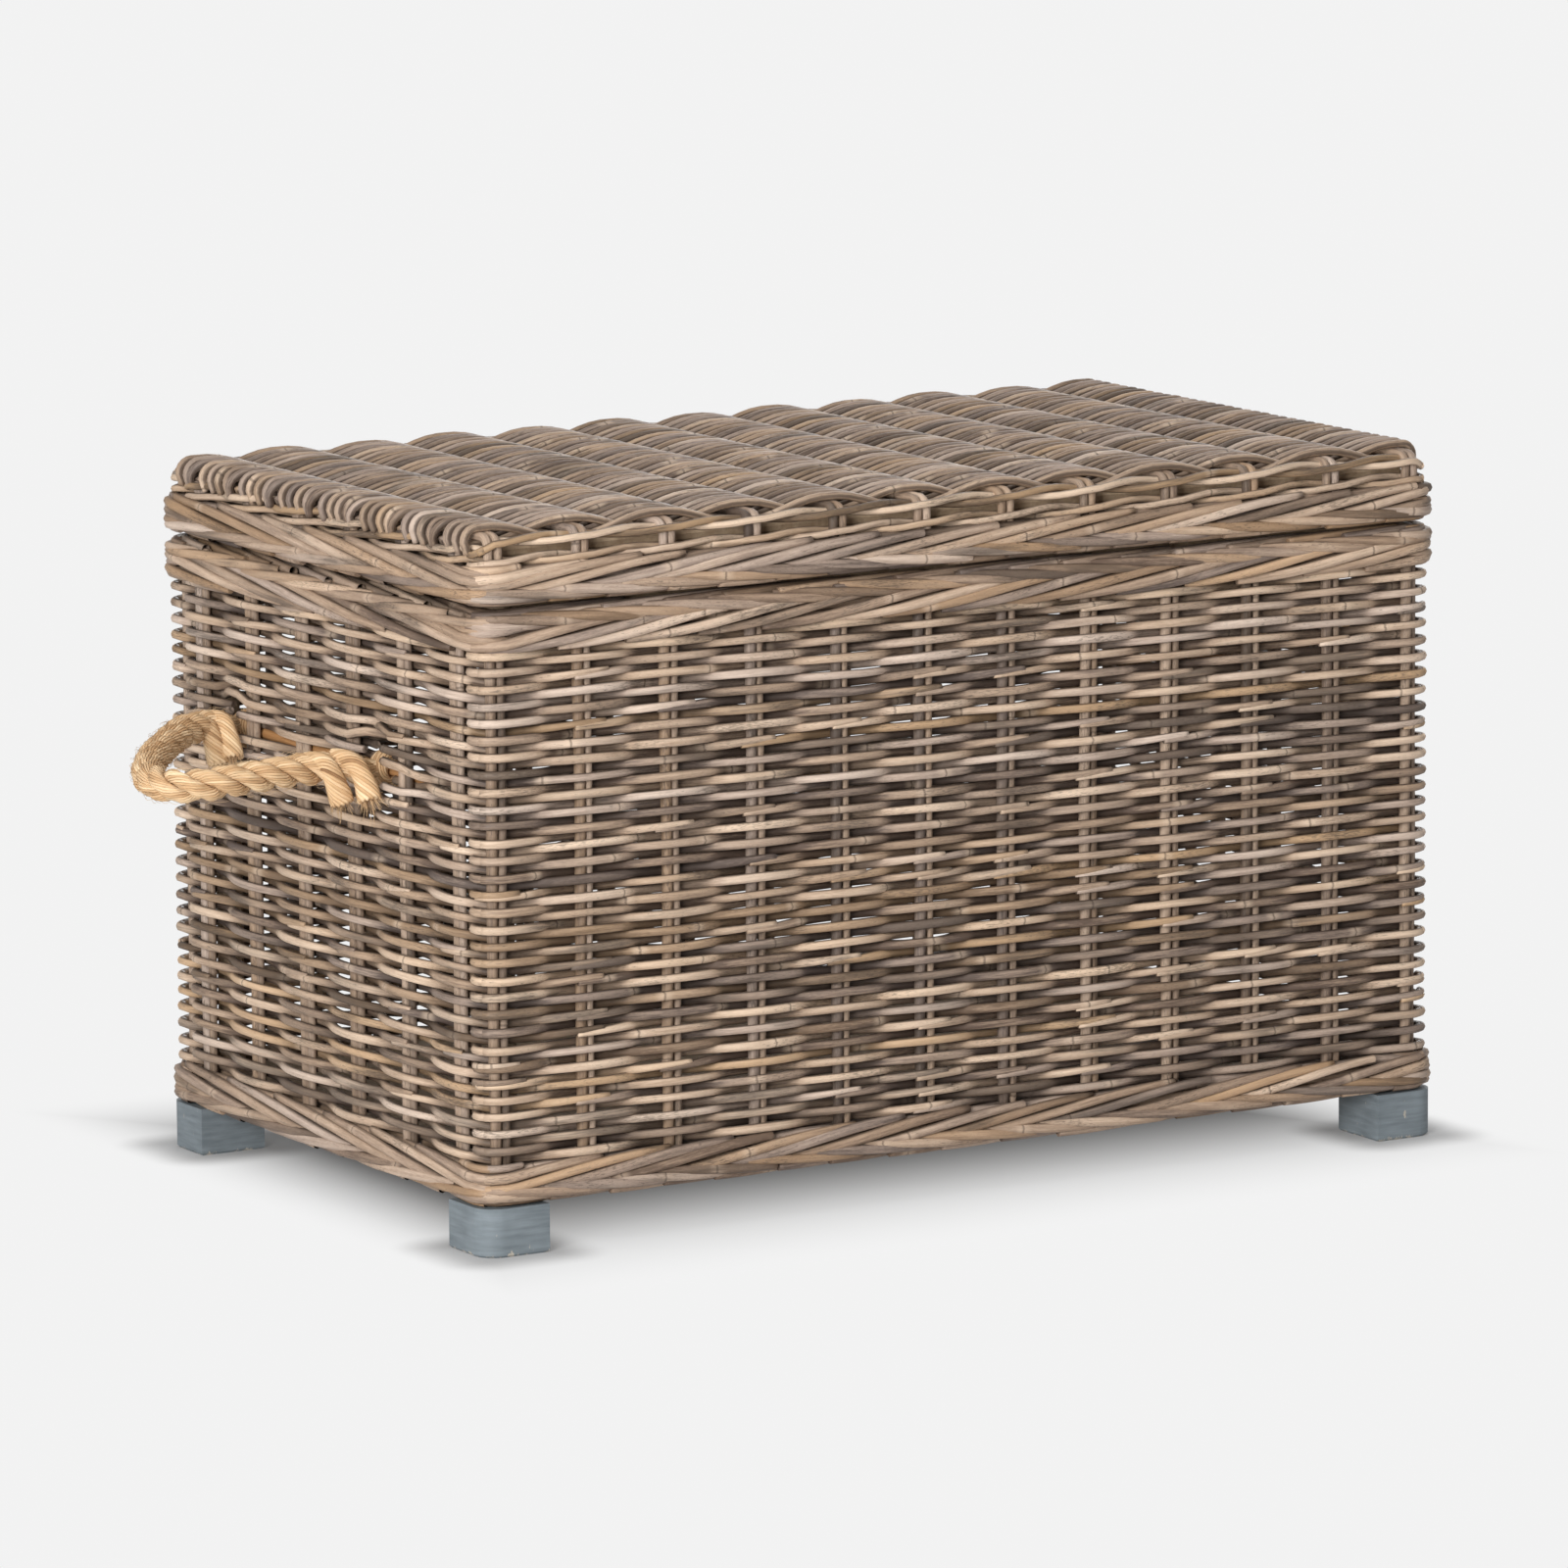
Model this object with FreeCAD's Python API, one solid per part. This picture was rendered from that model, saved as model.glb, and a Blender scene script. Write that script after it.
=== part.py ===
import FreeCAD
import Part
import math
import os

# Wicker trunk with a hinged lid and rope handles.
# Millimetres. +Z up, X along the length, the front looks along -Y,
# origin on the floor under the middle of the trunk.

Vec = FreeCAD.Vector
X_AXIS = Vec(1, 0, 0)
Y_AXIS = Vec(0, 1, 0)
Z_AXIS = Vec(0, 0, 1)
QUARTER_TURN = 90.0
SIDES = {"left": -1, "right": 1}
# The right end is the left end turned half round, so both handles are made alike
HALF_TURNS = {"left": 0, "right": 2 * QUARTER_TURN}
ENDS = {"front": -1, "back": 1}

# Outside of the plaited borders
trunk_length = 1000.0
trunk_width = 600.0
border_depth = 36.0
border_round = 18.0
corner_round = 26.0

# Heights, from the floor up
foot_height = 43.0
base_border_height = 36.0
base_border_round = 14.0
wall_height = 446.5
top_border_height = 36.0
seam_gap = 3.0
lid_border_height = 34.0
lid_skirt_height = 19.5
lid_end_skirt_height = 13.0
lid_crest_height = 71.5

# Flat sides that repeated round pieces are drawn with
cane_sides = 6
pole_sides = 12
screw_sides = 8

# Canes
thick_stake = 10.0
thin_stake = 7.5
weaver = 6.4
rib_cane = 8.0
top_strand = 8.0
rim_cane = 7.2
front_stake_count = 12
end_stake_count = 6
corner_stake_inset = 10.0
wall_corner_round = 16.0

# Bends of the lid's top strands and ribs
lid_end_bend = 12.0
rib_bend = 6.0
lid_leg_offset = 6.0
lid_top_side_inset = 1.0

# Poles of the inner frame
frame_pole = 24.0
lid_pole = 18.0

# Bottom
bottom_thickness = 8.0
slat_width = 40.0
slat_thickness = 12.0
slat_spacing = 230.0

# Feet
foot_size = 64.0
foot_inset = 5.0
foot_round = 20.0
foot_edge = 2.0
foot_screw_radius = 2.5
foot_screw_head_radius = 5.5
foot_screw_head_height = 3.0
foot_screw_recess = 12.0
foot_screw_grip = 30.0

# Hinges
hinge_offset = 7.0
hinge_place_share = 0.30
hinge_length = 60.0
leaf_thickness = 1.2
knuckle_radius = 3.6
knuckle_count = 3
pin_radius = 1.6
pin_head_radius = 2.6
pin_head_height = 1.2
hinge_screw_radius = 1.75
hinge_screw_head_radius = 3.2
hinge_screw_length = 14.0
hinge_screw_spacing = 20.0
hinge_screw_setback = 8.0

# Rope handles
handle_height = 398.0
rope_diameter = 30.0
rope_strand = 15.0
handle_rod = 10.0
handle_rod_overlap = 72.0
eye_width = 30.0
window_below = 26.0
window_above = 44.0
window_side_gap = 1.2
window_flare = 6.5
rope_sides = 12
rope_bend_step = 18.0
tail_strand = 13.0
# Loose strand ends at the near and the far eye: points out from the rod,
# along Y from the eye and down from the rod
near_tails = [
    [(66.0, -4.0, 4.0), (62.0, -7.0, 16.0), (60.0, -9.0, 30.0)],
    [(44.0, -8.0, 2.0), (37.0, -16.0, 11.0), (31.0, -25.0, 21.0)],
]
far_tails = [
    [(50.0, -6.0, 1.0), (43.0, -19.0, 11.0), (38.0, -30.0, 20.0)],
    [(40.0, -8.0, -3.0), (35.0, -28.0, 7.0), (32.0, -44.0, 17.0)],
]

# Points of a rope's route: out from the handle rod, along Y, up from the rod
rope_route = [
    (14.0, -94.0, 0.5),
    (66.0, -94.0, 9.0),
    (138.0, -98.0, 6.5),
    (206.0, -94.0, 1.0),
    (229.0, -50.0, 1.5),
    (187.0, 29.0, 3.0),
    (129.0, 97.0, 5.0),
    (69.0, 153.0, 11.0),
    (14.0, 166.2, 3.0),
]

# Clearances
seat = 0.3
pin_fit = 0.08
knuckle_gap = 0.4
screw_fit = 0.1
overrun = 20.0

# Levels worked out from the heights
border_base_z = foot_height
wall_z = border_base_z + base_border_height
top_border_z = wall_z + wall_height
seam_low_z = top_border_z + top_border_height
seam_z = seam_low_z + seam_gap / 2
lid_border_z = seam_low_z + seam_gap
lid_skirt_z = lid_border_z + lid_border_height
crest_z = lid_border_z + lid_crest_height

# Planes worked out from the borders
half_length = trunk_length / 2
half_width = trunk_width / 2
line_x = half_length - border_depth / 2
line_y = half_width - border_depth / 2
border_inner_x = half_length - border_depth
border_inner_y = half_width - border_depth
wall_half = thick_stake / 2 + weaver
wall_thin_half = weaver / 2
lid_wave_depth = rib_cane + seat
pair_width = thick_stake + seat + thin_stake
front_pitch = 2 * (line_x - corner_stake_inset) / (front_stake_count - 1)
end_pitch = 2 * line_y / end_stake_count
front_stations = [
    -line_x + corner_stake_inset + i * front_pitch for i in range(front_stake_count)
]
end_stations = [-line_y + (i + 0.5) * end_pitch for i in range(end_stake_count)]

parts = {}


def box(low, high):
    """Box between two corners."""
    size = [b - a for a, b in zip(low, high)]
    return Part.makeBox(size[0], size[1], size[2], Vec(*low))


def flat_face(corners):
    return Part.Face(Part.makePolygon(corners + corners[:1]))


def skin(rings):
    """Solid with flat faces from each ring of corners to the next."""
    faces = [flat_face(rings[0]), flat_face(rings[-1][::-1])]
    for low, high in zip(rings, rings[1:]):
        for i in range(len(low)):
            j = (i + 1) % len(low)
            faces.append(flat_face([low[j], low[i], high[i], high[j]]))
    return Part.Solid(Part.Shell(faces))


def ring(sides, radius, center, heading):
    """Corners of a regular polygon, square to the heading."""
    upright = X_AXIS if abs(heading.x) < abs(heading.y) else Y_AXIS
    across = heading.cross(upright).normalize()
    upright = heading.cross(across)
    corners = []
    for number in range(sides):
        angle = 2 * math.pi * number / sides
        corners.append(center + (across * math.sin(angle) + upright * math.cos(angle)) * radius)
    return corners


def turned(sides, start, heading, profile):
    """Straight bar with flat sides, from distances along it and radii."""
    return skin([ring(sides, radius, start + heading * way, heading) for way, radius in profile])


def bar(sides, radius, points):
    """Bar with flat sides along its points, mitred wherever it turns."""
    heading = (points[1] - points[0]).normalize()
    rings = [ring(sides, radius, points[0], heading)]
    for number, point in enumerate(points[1:], 1):
        heading = (point - points[number - 1]).normalize()
        onward = (points[number + 1] - point).normalize() if point != points[-1] else heading
        mitre = (heading + onward).normalize()
        pace = heading.dot(mitre)
        rings.append([c + heading * ((point - c).dot(mitre) / pace) for c in rings[-1]])
    return skin(rings)


def pole(radius, start, end):
    return bar(pole_sides, radius, [start, end])


def group(solids):
    return Part.Compound(solids)


def line(a, b):
    return Part.LineSegment(a, b).toShape()


def arc(a, middle, b):
    return Part.Arc(a, middle, b).toShape()


def around(center, radius, degrees, to_point):
    """Point on a circle in an outline's own plane."""
    angle = math.radians(degrees)
    u = center[0] + radius * math.cos(angle)
    v = center[1] + radius * math.sin(angle)
    return to_point(u, v)


def arc_about(center, radius, first, last, to_point):
    """Arc about a center, by its two angles in degrees."""
    return arc(
        around(center, radius, first, to_point),
        around(center, radius, (first + last) / 2, to_point),
        around(center, radius, last, to_point),
    )


def rounded_slab(half_x, half_y, radius, z, height):
    """Upright prism with a rounded rectangle for its plan."""
    plan = lambda u, v: Vec(u, v, z)
    ix, iy = half_x - radius, half_y - radius
    corners = [(ix, iy, 0), (-ix, iy, 90), (-ix, -iy, 180), (ix, -iy, 270)]
    edges = []
    for number, (cx, cy, turn) in enumerate(corners):
        nx, ny, next_turn = corners[(number + 1) % len(corners)]
        edges.append(arc_about((cx, cy), radius, turn, turn + QUARTER_TURN, plan))
        start = around((cx, cy), radius, turn + QUARTER_TURN, plan)
        end = around((nx, ny), radius, next_turn, plan)
        edges.append(line(start, end))
    return Part.Face(Part.Wire(edges)).extrude(Vec(0, 0, height))


def border_ring(z, height, rolled_z, radius):
    """Thick plaited border: a ring with one of its outer edges rolled over."""
    outer = rounded_slab(half_length, half_width, corner_round, z, height)
    rim = [e for e in outer.Edges if all(abs(v.Z - rolled_z) < seat for v in e.Vertexes)]
    outer = outer.makeFillet(radius, rim)
    reach = Vec(border_inner_x, border_inner_y, height + overrun)
    hollow = box((-reach.x, -reach.y, z - overrun), (reach.x, reach.y, z + reach.z))
    return outer.cut(hollow)


def wave_arcs(stations, crest, depth):
    """Chain of equal arcs, crest at each station and valley between, as
    (center, radius, first angle, last angle, True over a crest)."""
    pitch = stations[1] - stations[0]
    radius = ((pitch / 4) ** 2 + (depth / 2) ** 2) / depth
    sweep = math.degrees(math.asin(pitch / 4 / radius))
    arcs = []
    for number, u in enumerate(stations):
        first = QUARTER_TURN if number == 0 else QUARTER_TURN + sweep
        last = QUARTER_TURN if number == len(stations) - 1 else QUARTER_TURN - sweep
        arcs.append(((u, crest - radius), radius, first, last, True))
        if number < len(stations) - 1:
            center = (u + pitch / 2, crest - depth + radius)
            arcs.append((center, radius, -QUARTER_TURN - sweep, -QUARTER_TURN + sweep, False))
    return arcs


def wave_edges(arcs, offset, to_point):
    """Edges of the chain, moved outwards from its line by the offset."""
    edges = []
    for center, radius, first, last, over in arcs:
        bent = radius + offset if over else radius - offset
        edges.append(arc_about(center, bent, first, last, to_point))
    return edges


def closed_prism(edges, direction):
    wire = Part.Wire(Part.__sortEdges__(edges))
    return Part.Face(wire).extrude(direction)


def woven_panel(stations, half_span, z, height):
    """Woven panel along X about the plane y = 0: as thick as a stake and two
    weavers over each stake pair, and one weaver thick where they cross."""
    pitch = stations[1] - stations[0]
    outline = [(-half_span, wall_half)]
    for u in stations:
        outline += [(u - pair_width / 2, wall_half), (u + pair_width / 2, wall_half)]
        outline.append((u + pitch / 2, wall_thin_half))
    outline[-1] = (half_span, wall_half)
    points = [Vec(u, -v, z) for u, v in outline] + [Vec(u, v, z) for u, v in outline[::-1]]
    return flat_face(points).extrude(Vec(0, 0, height))


def stake_pair_places(stations):
    """Centers of the thick and the thin cane of each pair, with radius."""
    places = []
    for u in stations:
        places.append((u - pair_width / 2 + thick_stake / 2, thick_stake / 2))
        places.append((u + pair_width / 2 - thin_stake / 2, thin_stake / 2))
    return places


def stakes(stations, z, height):
    """Stake pairs along X."""
    canes = []
    for u, radius in stake_pair_places(stations):
        canes.append(bar(cane_sides, radius, [Vec(u, 0, z), Vec(u, 0, z + height)]))
    return canes


def channels(stations, pair_half, depth_half, z):
    """Room for the cane pairs, right through a panel that starts at z."""
    top = z + wall_height + overrun
    lows = [(u - pair_half, -depth_half, z - overrun) for u in stations]
    highs = [(u + pair_half, depth_half, top) for u in stations]
    return [box(low, high) for low, high in zip(lows, highs)]


def placed(shape, turn, move):
    """Copy turned about Z and then moved."""
    copy = shape.copy()
    copy.rotate(Vec(0, 0, 0), Z_AXIS, turn)
    copy.translate(move)
    return copy


def soften(solid, radius, wanted):
    """Round the edges that the test picks."""
    return solid.makeFillet(radius, [e for e in solid.Edges if wanted(e)])


# Borders
base_border = border_ring(border_base_z, base_border_height, border_base_z, base_border_round)
top_border = border_ring(top_border_z, top_border_height, seam_low_z, border_round)
lid_border = border_ring(lid_border_z, lid_border_height, lid_border_z, border_round)

# Woven walls and the stakes inside them
panel_z = wall_z + seat
panel_height = wall_height - 2 * seat
long_span = line_x + wall_half
end_span = line_y - wall_half - seat


def long_panel(z, height):
    """Front or back panel with its two outer corners rounded."""
    panel = woven_panel(front_stations, long_span, z, height)
    near_end = long_span - seat

    def outer_corner(edge):
        middle = edge.CenterOfMass
        upright = abs(edge.tangentAt(edge.FirstParameter).z) > 0.9
        return upright and abs(middle.x) > near_end and middle.y < 0

    return soften(panel, wall_corner_round, outer_corner)


def end_panel(z, height):
    """Panel of the left or right end, between the long panels."""
    stations = [-line_y - end_pitch / 2] + end_stations + [line_y + end_pitch / 2]
    panel = woven_panel(stations, line_y + end_pitch, z, height)
    keep = box((-end_span, -overrun, z), (end_span, overrun, z + height))
    return panel.common(keep)


def end_wall_frame(side):
    """Turn and place that carry a piece along X to an end wall."""
    return QUARTER_TURN * side, Vec(side * line_x, 0, 0)


def one_solid(shape):
    """The single solid inside a boolean's result."""
    return shape.Solids[0] if len(shape.Solids) == 1 else shape


stake_room = (pair_width / 2 + seat, thick_stake / 2 + seat)
front_panel = long_panel(panel_z, panel_height)
front_panel = front_panel.cut(channels(front_stations, *stake_room, panel_z))
front_canes = group(stakes(front_stations, panel_z, panel_height))
for name, side in ENDS.items():
    turn = 0 if side < 0 else 2 * QUARTER_TURN
    place = Vec(0, side * line_y, 0)
    parts[name + "_wall"] = one_solid(placed(front_panel, turn, place))
    parts[name + "_wall_stakes"] = placed(front_canes, turn, place)

# Handle rods, rope eyes and the windows for them in the end walls
rod_radius = handle_rod / 2
rod_x = line_x - thick_stake / 2 - seat - rod_radius
eye_radius = rod_radius + seat + rope_strand
eye_shoulder = eye_radius - eye_width / 8
near_eye_y = -end_pitch
far_eye_y = 1.5 * end_pitch + pair_width / 2 + window_side_gap + eye_width / 2
eye_places = (near_eye_y, far_eye_y)

end_weave = end_panel(panel_z, panel_height)
end_weave = end_weave.cut(channels(end_stations, *stake_room, panel_z))
end_canes = group(stakes(end_stations, panel_z, panel_height))



def from_rod(out, y, up):
    """Point at the left end, this far out from the handle rod's axis and up."""
    return Vec(-rod_x - out, y, handle_height + up)


turn, place = end_wall_frame(SIDES["left"])
end_canes = placed(end_canes, turn, place)
end_wall = placed(end_weave, turn, place)
rod_ends = (near_eye_y - handle_rod_overlap, far_eye_y + handle_rod_overlap)
start, stop = (from_rod(0, y, 0) for y in rod_ends)
handle_rod = Part.makeCylinder(rod_radius, (stop - start).Length, start, Y_AXIS)
end_wall = end_wall.cut(pole(rod_radius + seat, start - Y_AXIS * seat, stop + Y_AXIS * seat))
for y in eye_places:
    half = eye_width / 2 + window_side_gap
    low = (-line_x - overrun, y - half, handle_height - window_below)
    high = (-line_x + overrun, y + half, handle_height + window_above)
    end_wall = end_wall.cut(box(low, high))
# The rope leaves the far eye at a slant, past the front of a stake pair
flare_y = far_eye_y - eye_width / 2 - window_side_gap
low = (-line_x - overrun, flare_y - window_flare, handle_height - window_below)
high = (-line_x - thick_stake / 2 - seat, flare_y + window_flare, handle_height + window_above)
end_wall = one_solid(end_wall.cut(box(low, high)))
for name, turn in HALF_TURNS.items():
    parts[name + "_wall"] = placed(end_wall, turn, Vec())
    parts[name + "_wall_stakes"] = placed(end_canes, turn, Vec())
    parts[name + "_handle_rod"] = placed(handle_rod, turn, Vec())


def rope_wire(points):
    """Straight runs joined by tangent arcs; returns the wire and its radii."""
    edges, radii = [], []
    here = points[0]
    for before, corner, after in zip(points, points[1:], points[2:]):
        back, ahead = before - corner, after - corner
        turn = math.pi - back.getAngle(ahead)
        trim = 0.45 * min(back.Length, ahead.Length)
        radius = trim / math.tan(turn / 2)
        radii.append(radius)
        back.normalize()
        ahead.normalize()
        start, end = corner + back * trim, corner + ahead * trim
        inward = back + ahead
        inward.normalize()
        center_gap = radius / math.cos(turn / 2) - radius
        middle = corner + inward * center_gap
        edges.append(line(here, start))
        edges.append(arc(start, middle, end))
        here = end
    edges.append(line(here, points[-1]))
    return Part.Wire(edges), radii


def rope_form(wire, radius):
    """Rope along its wire, with flat sides and a few rings to each bend."""
    points = [wire.Vertexes[0].Point]
    for edge in wire.Edges:
        first, last = edge.FirstParameter, edge.LastParameter
        bend = edge.tangentAt(first).getAngle(edge.tangentAt(last))
        steps = max(1, round(math.degrees(bend) / rope_bend_step))
        for number in range(1, steps + 1):
            points.append(edge.valueAt(first + (last - first) * number / steps))
    return bar(rope_sides, radius, points)


def eye(y):
    """Rope strand wound close round the handle rod."""
    start = from_rod(0, y - eye_width / 2, 0)
    profile = [(0, eye_shoulder), (eye_width / 4, eye_radius)]
    profile += [(eye_width - way, radius) for way, radius in reversed(profile)]
    wound = turned(pole_sides, start, Y_AXIS, profile)
    return wound.cut(pole(rod_radius + seat, start, start + Y_AXIS * eye_width))


def strand_tail(eye_y, route):
    """Loose strand end that peels off the rope and hangs."""
    points = [from_rod(out, eye_y + y, -down) for out, y, down in route]
    return bar(cane_sides, tail_strand / 2, points)


wire, radii = rope_wire([from_rod(*point) for point in rope_route])
rope = rope_form(wire, rope_diameter / 2)
rope_room = rope_form(wire, rope_diameter / 2 + seat)
straight = math.pi * (rope_diameter / 2) ** 2 * wire.Length
print("rope length", round(wire.Length, 1), "radii", [round(r) for r in radii])
print("rope volume against section times length", round(rope.Volume / straight, 4))
axis_ends = [from_rod(0, s * half_width, 0) for s in (-1, 1)]
rope = one_solid(rope.cut(pole(eye_radius + 2 * seat, *axis_ends)))
tails = []
for y, routes in zip(eye_places, (near_tails, far_tails)):
    tails += [one_solid(strand_tail(y, tail).cut(rope_room)) for tail in routes]
rope_ends = group([eye(y) for y in eye_places] + tails)
for name, turn in HALF_TURNS.items():
    parts[name + "_rope"] = placed(rope, turn, Vec())
    parts[name + "_rope_ends"] = placed(rope_ends, turn, Vec())

# Inner frame: corner posts, rails at the base and under the top border
pole_radius = frame_pole / 2
post_x = border_inner_x - seat - pole_radius
post_y = border_inner_y - seat - pole_radius
base_rail_z = border_base_z + seat + pole_radius
top_rail_z = seam_low_z - pole_radius
for side_name, sx in SIDES.items():
    for end_name, sy in ENDS.items():
        foot_place = Vec(sx * post_x, sy * post_y, border_base_z + seat)
        top = Vec(foot_place.x, foot_place.y, seam_low_z)
        parts[end_name + "_" + side_name + "_post"] = pole(pole_radius, foot_place, top)
rail_end_x = post_x - pole_radius - seat
rail_end_y = post_y - pole_radius - seat
for level, z in (("base", base_rail_z), ("top", top_rail_z)):
    for name, s in ENDS.items():
        rail_ends = [Vec(x, s * post_y, z) for x in (-rail_end_x, rail_end_x)]
        parts[name + "_" + level + "_rail"] = pole(pole_radius, *rail_ends)
    for name, s in SIDES.items():
        rail_ends = [Vec(s * post_x, y, z) for y in (-rail_end_y, rail_end_y)]
        parts[name + "_" + level + "_rail"] = pole(pole_radius, *rail_ends)

# Bottom board on the base rails, with slats under it
bottom_z = base_rail_z + pole_radius + seat
bottom_half_x = border_inner_x - seat
bottom_half_y = border_inner_y - seat
bottom = box(
    (-bottom_half_x, -bottom_half_y, bottom_z),
    (bottom_half_x, bottom_half_y, bottom_z + bottom_thickness),
)
notch_reach = pole_radius + seat
for sx in SIDES.values():
    for sy in ENDS.values():
        notch_x = sorted((sx * (post_x - notch_reach), sx * half_length))
        notch_y = sorted((sy * (post_y - notch_reach), sy * half_width))
        low_corner = (notch_x[0], notch_y[0], bottom_z - overrun)
        high_corner = (notch_x[1], notch_y[1], bottom_z + bottom_thickness + overrun)
        bottom = bottom.cut(box(low_corner, high_corner))
parts["bottom_board"] = one_solid(bottom)
slat_y = post_y - pole_radius - seat
for number in range(3):
    x = (number - 1) * slat_spacing
    low = (x - slat_width / 2, -slat_y, bottom_z - seat - slat_thickness)
    high = (x + slat_width / 2, slat_y, bottom_z - seat)
    parts["bottom_slat_" + str(number + 1)] = box(low, high)

# Feet, screwed to the corner posts
foot_screws = []
screw_top = foot_height + foot_screw_grip
screw_profile = [
    (foot_screw_recess - foot_screw_head_height, foot_screw_head_radius),
    (foot_screw_recess, foot_screw_head_radius),
    (foot_screw_recess, foot_screw_radius),
    (screw_top, foot_screw_radius),
]
recess_profile = [
    (-overrun, foot_screw_head_radius + seat),
    (foot_screw_recess, foot_screw_head_radius + seat),
    (foot_screw_recess, foot_screw_radius + screw_fit),
    (screw_top + seat, foot_screw_radius + screw_fit),
]
for side_name, sx in SIDES.items():
    for end_name, sy in ENDS.items():
        outer_x, outer_y = half_length - foot_inset, half_width - foot_inset
        xs = sorted((sx * outer_x, sx * (outer_x - foot_size)))
        ys = sorted((sy * outer_y, sy * (outer_y - foot_size)))
        foot = box((xs[0], ys[0], 0), (xs[1], ys[1], foot_height))
        corner = Vec(sx * outer_x, sy * outer_y, 0)

        def at_corner(edge, corner=corner):
            flat = Vec(edge.CenterOfMass.x, edge.CenterOfMass.y, 0)
            return flat.distanceToPoint(corner) < seat

        foot = soften(foot, foot_round, at_corner)
        foot = foot.makeChamfer(foot_edge, [e for e in foot.Edges if e.CenterOfMass.z < seat])
        floor = Vec(sx * post_x, sy * post_y, 0)
        room = turned(screw_sides, floor, Z_AXIS, recess_profile)
        parts[end_name + "_" + side_name + "_foot"] = one_solid(foot.cut(room))
        post_name = end_name + "_" + side_name + "_post"
        parts[post_name] = one_solid(parts[post_name].cut(room))
        foot_screws.append(turned(screw_sides, floor, Z_AXIS, screw_profile))
parts["foot_screws"] = group(foot_screws)

# Lid: ribs bent down at front and back to be the skirt's stakes
sheet_half = top_strand / 2
crest_line_z = crest_z - sheet_half
rib_radius = rib_cane / 2
rib_z = crest_z - top_strand - seat - rib_radius
rib_low_z = lid_skirt_z + seat
rib_pair_half = rib_radius + seat / 2


def rib(x):
    """One rib: up the front, over the top and down the back."""
    bend_y, bend_z = line_y - rib_bend, rib_z - rib_bend
    front = [(-line_y, rib_low_z), (-line_y, bend_z), (-bend_y, rib_z)]
    back = [(-y, z) for y, z in reversed(front)]
    return bar(cane_sides, rib_radius, [Vec(x, y, z) for y, z in front + back])


parts["lid_ribs"] = group([rib(u + s * rib_pair_half) for u in front_stations for s in (-1, 1)])

# Lid skirts
rib_room = (rib_pair_half + rib_radius + seat, rib_radius + seat)
skirt = long_panel(rib_low_z, lid_skirt_height)
skirt = skirt.cut(channels(front_stations, *rib_room, rib_low_z))
for name, side in ENDS.items():
    turn = 0 if side < 0 else 2 * QUARTER_TURN
    parts[name + "_lid_skirt"] = one_solid(placed(skirt, turn, Vec(0, side * line_y, 0)))
    rim_y = side * (line_y + rib_radius + seat + rim_cane / 2)
    rim_z = rib_low_z + lid_skirt_height + seat + rim_cane / 2
    rim_end = line_x
    parts[name + "_lid_rim"] = pole(
        rim_cane / 2, Vec(-rim_end, rim_y, rim_z), Vec(rim_end, rim_y, rim_z)
    )
end_skirt = end_panel(rib_low_z, lid_end_skirt_height)
end_skirt = end_skirt.cut(channels(end_stations, *stake_room, rib_low_z))
end_skirt_canes = group(stakes(end_stations, rib_low_z, lid_end_skirt_height))
for name, side in SIDES.items():
    turn, place = end_wall_frame(side)
    parts[name + "_lid_skirt"] = one_solid(placed(end_skirt, turn, place))
    parts[name + "_lid_skirt_stakes"] = placed(end_skirt_canes, turn, place)

# Lid top: one sheet of strands that waves over the ribs and wraps down the ends
leg_x = line_x + lid_leg_offset
leg_z = rib_low_z + lid_end_skirt_height + seat
bend_x = leg_x - lid_end_bend
bend_z = crest_line_z - lid_end_bend
top_half_y = line_y - lid_top_side_inset
xz = lambda u, v: Vec(u, -top_half_y, v)
wave = wave_arcs(front_stations, crest_line_z, lid_wave_depth)
sheet_edges = []
for offset in (-sheet_half, sheet_half):
    sheet_edges += wave_edges(wave, offset, xz)
    crest = crest_line_z + offset
    for s in (-1, 1):
        first, last = (2 * QUARTER_TURN, QUARTER_TURN) if s < 0 else (QUARTER_TURN, 0)
        leg = s * (leg_x + offset)
        sheet_edges.append(line(xz(leg, leg_z), xz(leg, bend_z)))
        sheet_edges.append(
            arc_about((s * bend_x, bend_z), lid_end_bend + offset, first, last, xz)
        )
        sheet_edges.append(line(xz(s * bend_x, crest), xz(s * front_stations[-1], crest)))
for s in (-1, 1):
    sheet_edges.append(
        line(xz(s * (leg_x - sheet_half), leg_z), xz(s * (leg_x + sheet_half), leg_z))
    )
lid_sheet = closed_prism(sheet_edges, Vec(0, 2 * top_half_y, 0))
corner_top = rib_low_z + lid_skirt_height + seat
for sx in SIDES.values():
    for sy in ENDS.values():
        corner_x = sorted((sx * bend_x, sx * half_length))
        corner_y = sorted((sy * end_span, sy * half_width))
        low_corner = (corner_x[0], corner_y[0], lid_skirt_z)
        high_corner = (corner_x[1], corner_y[1], corner_top)
        lid_sheet = lid_sheet.cut(box(low_corner, high_corner))
parts["lid_top"] = one_solid(lid_sheet)

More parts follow.
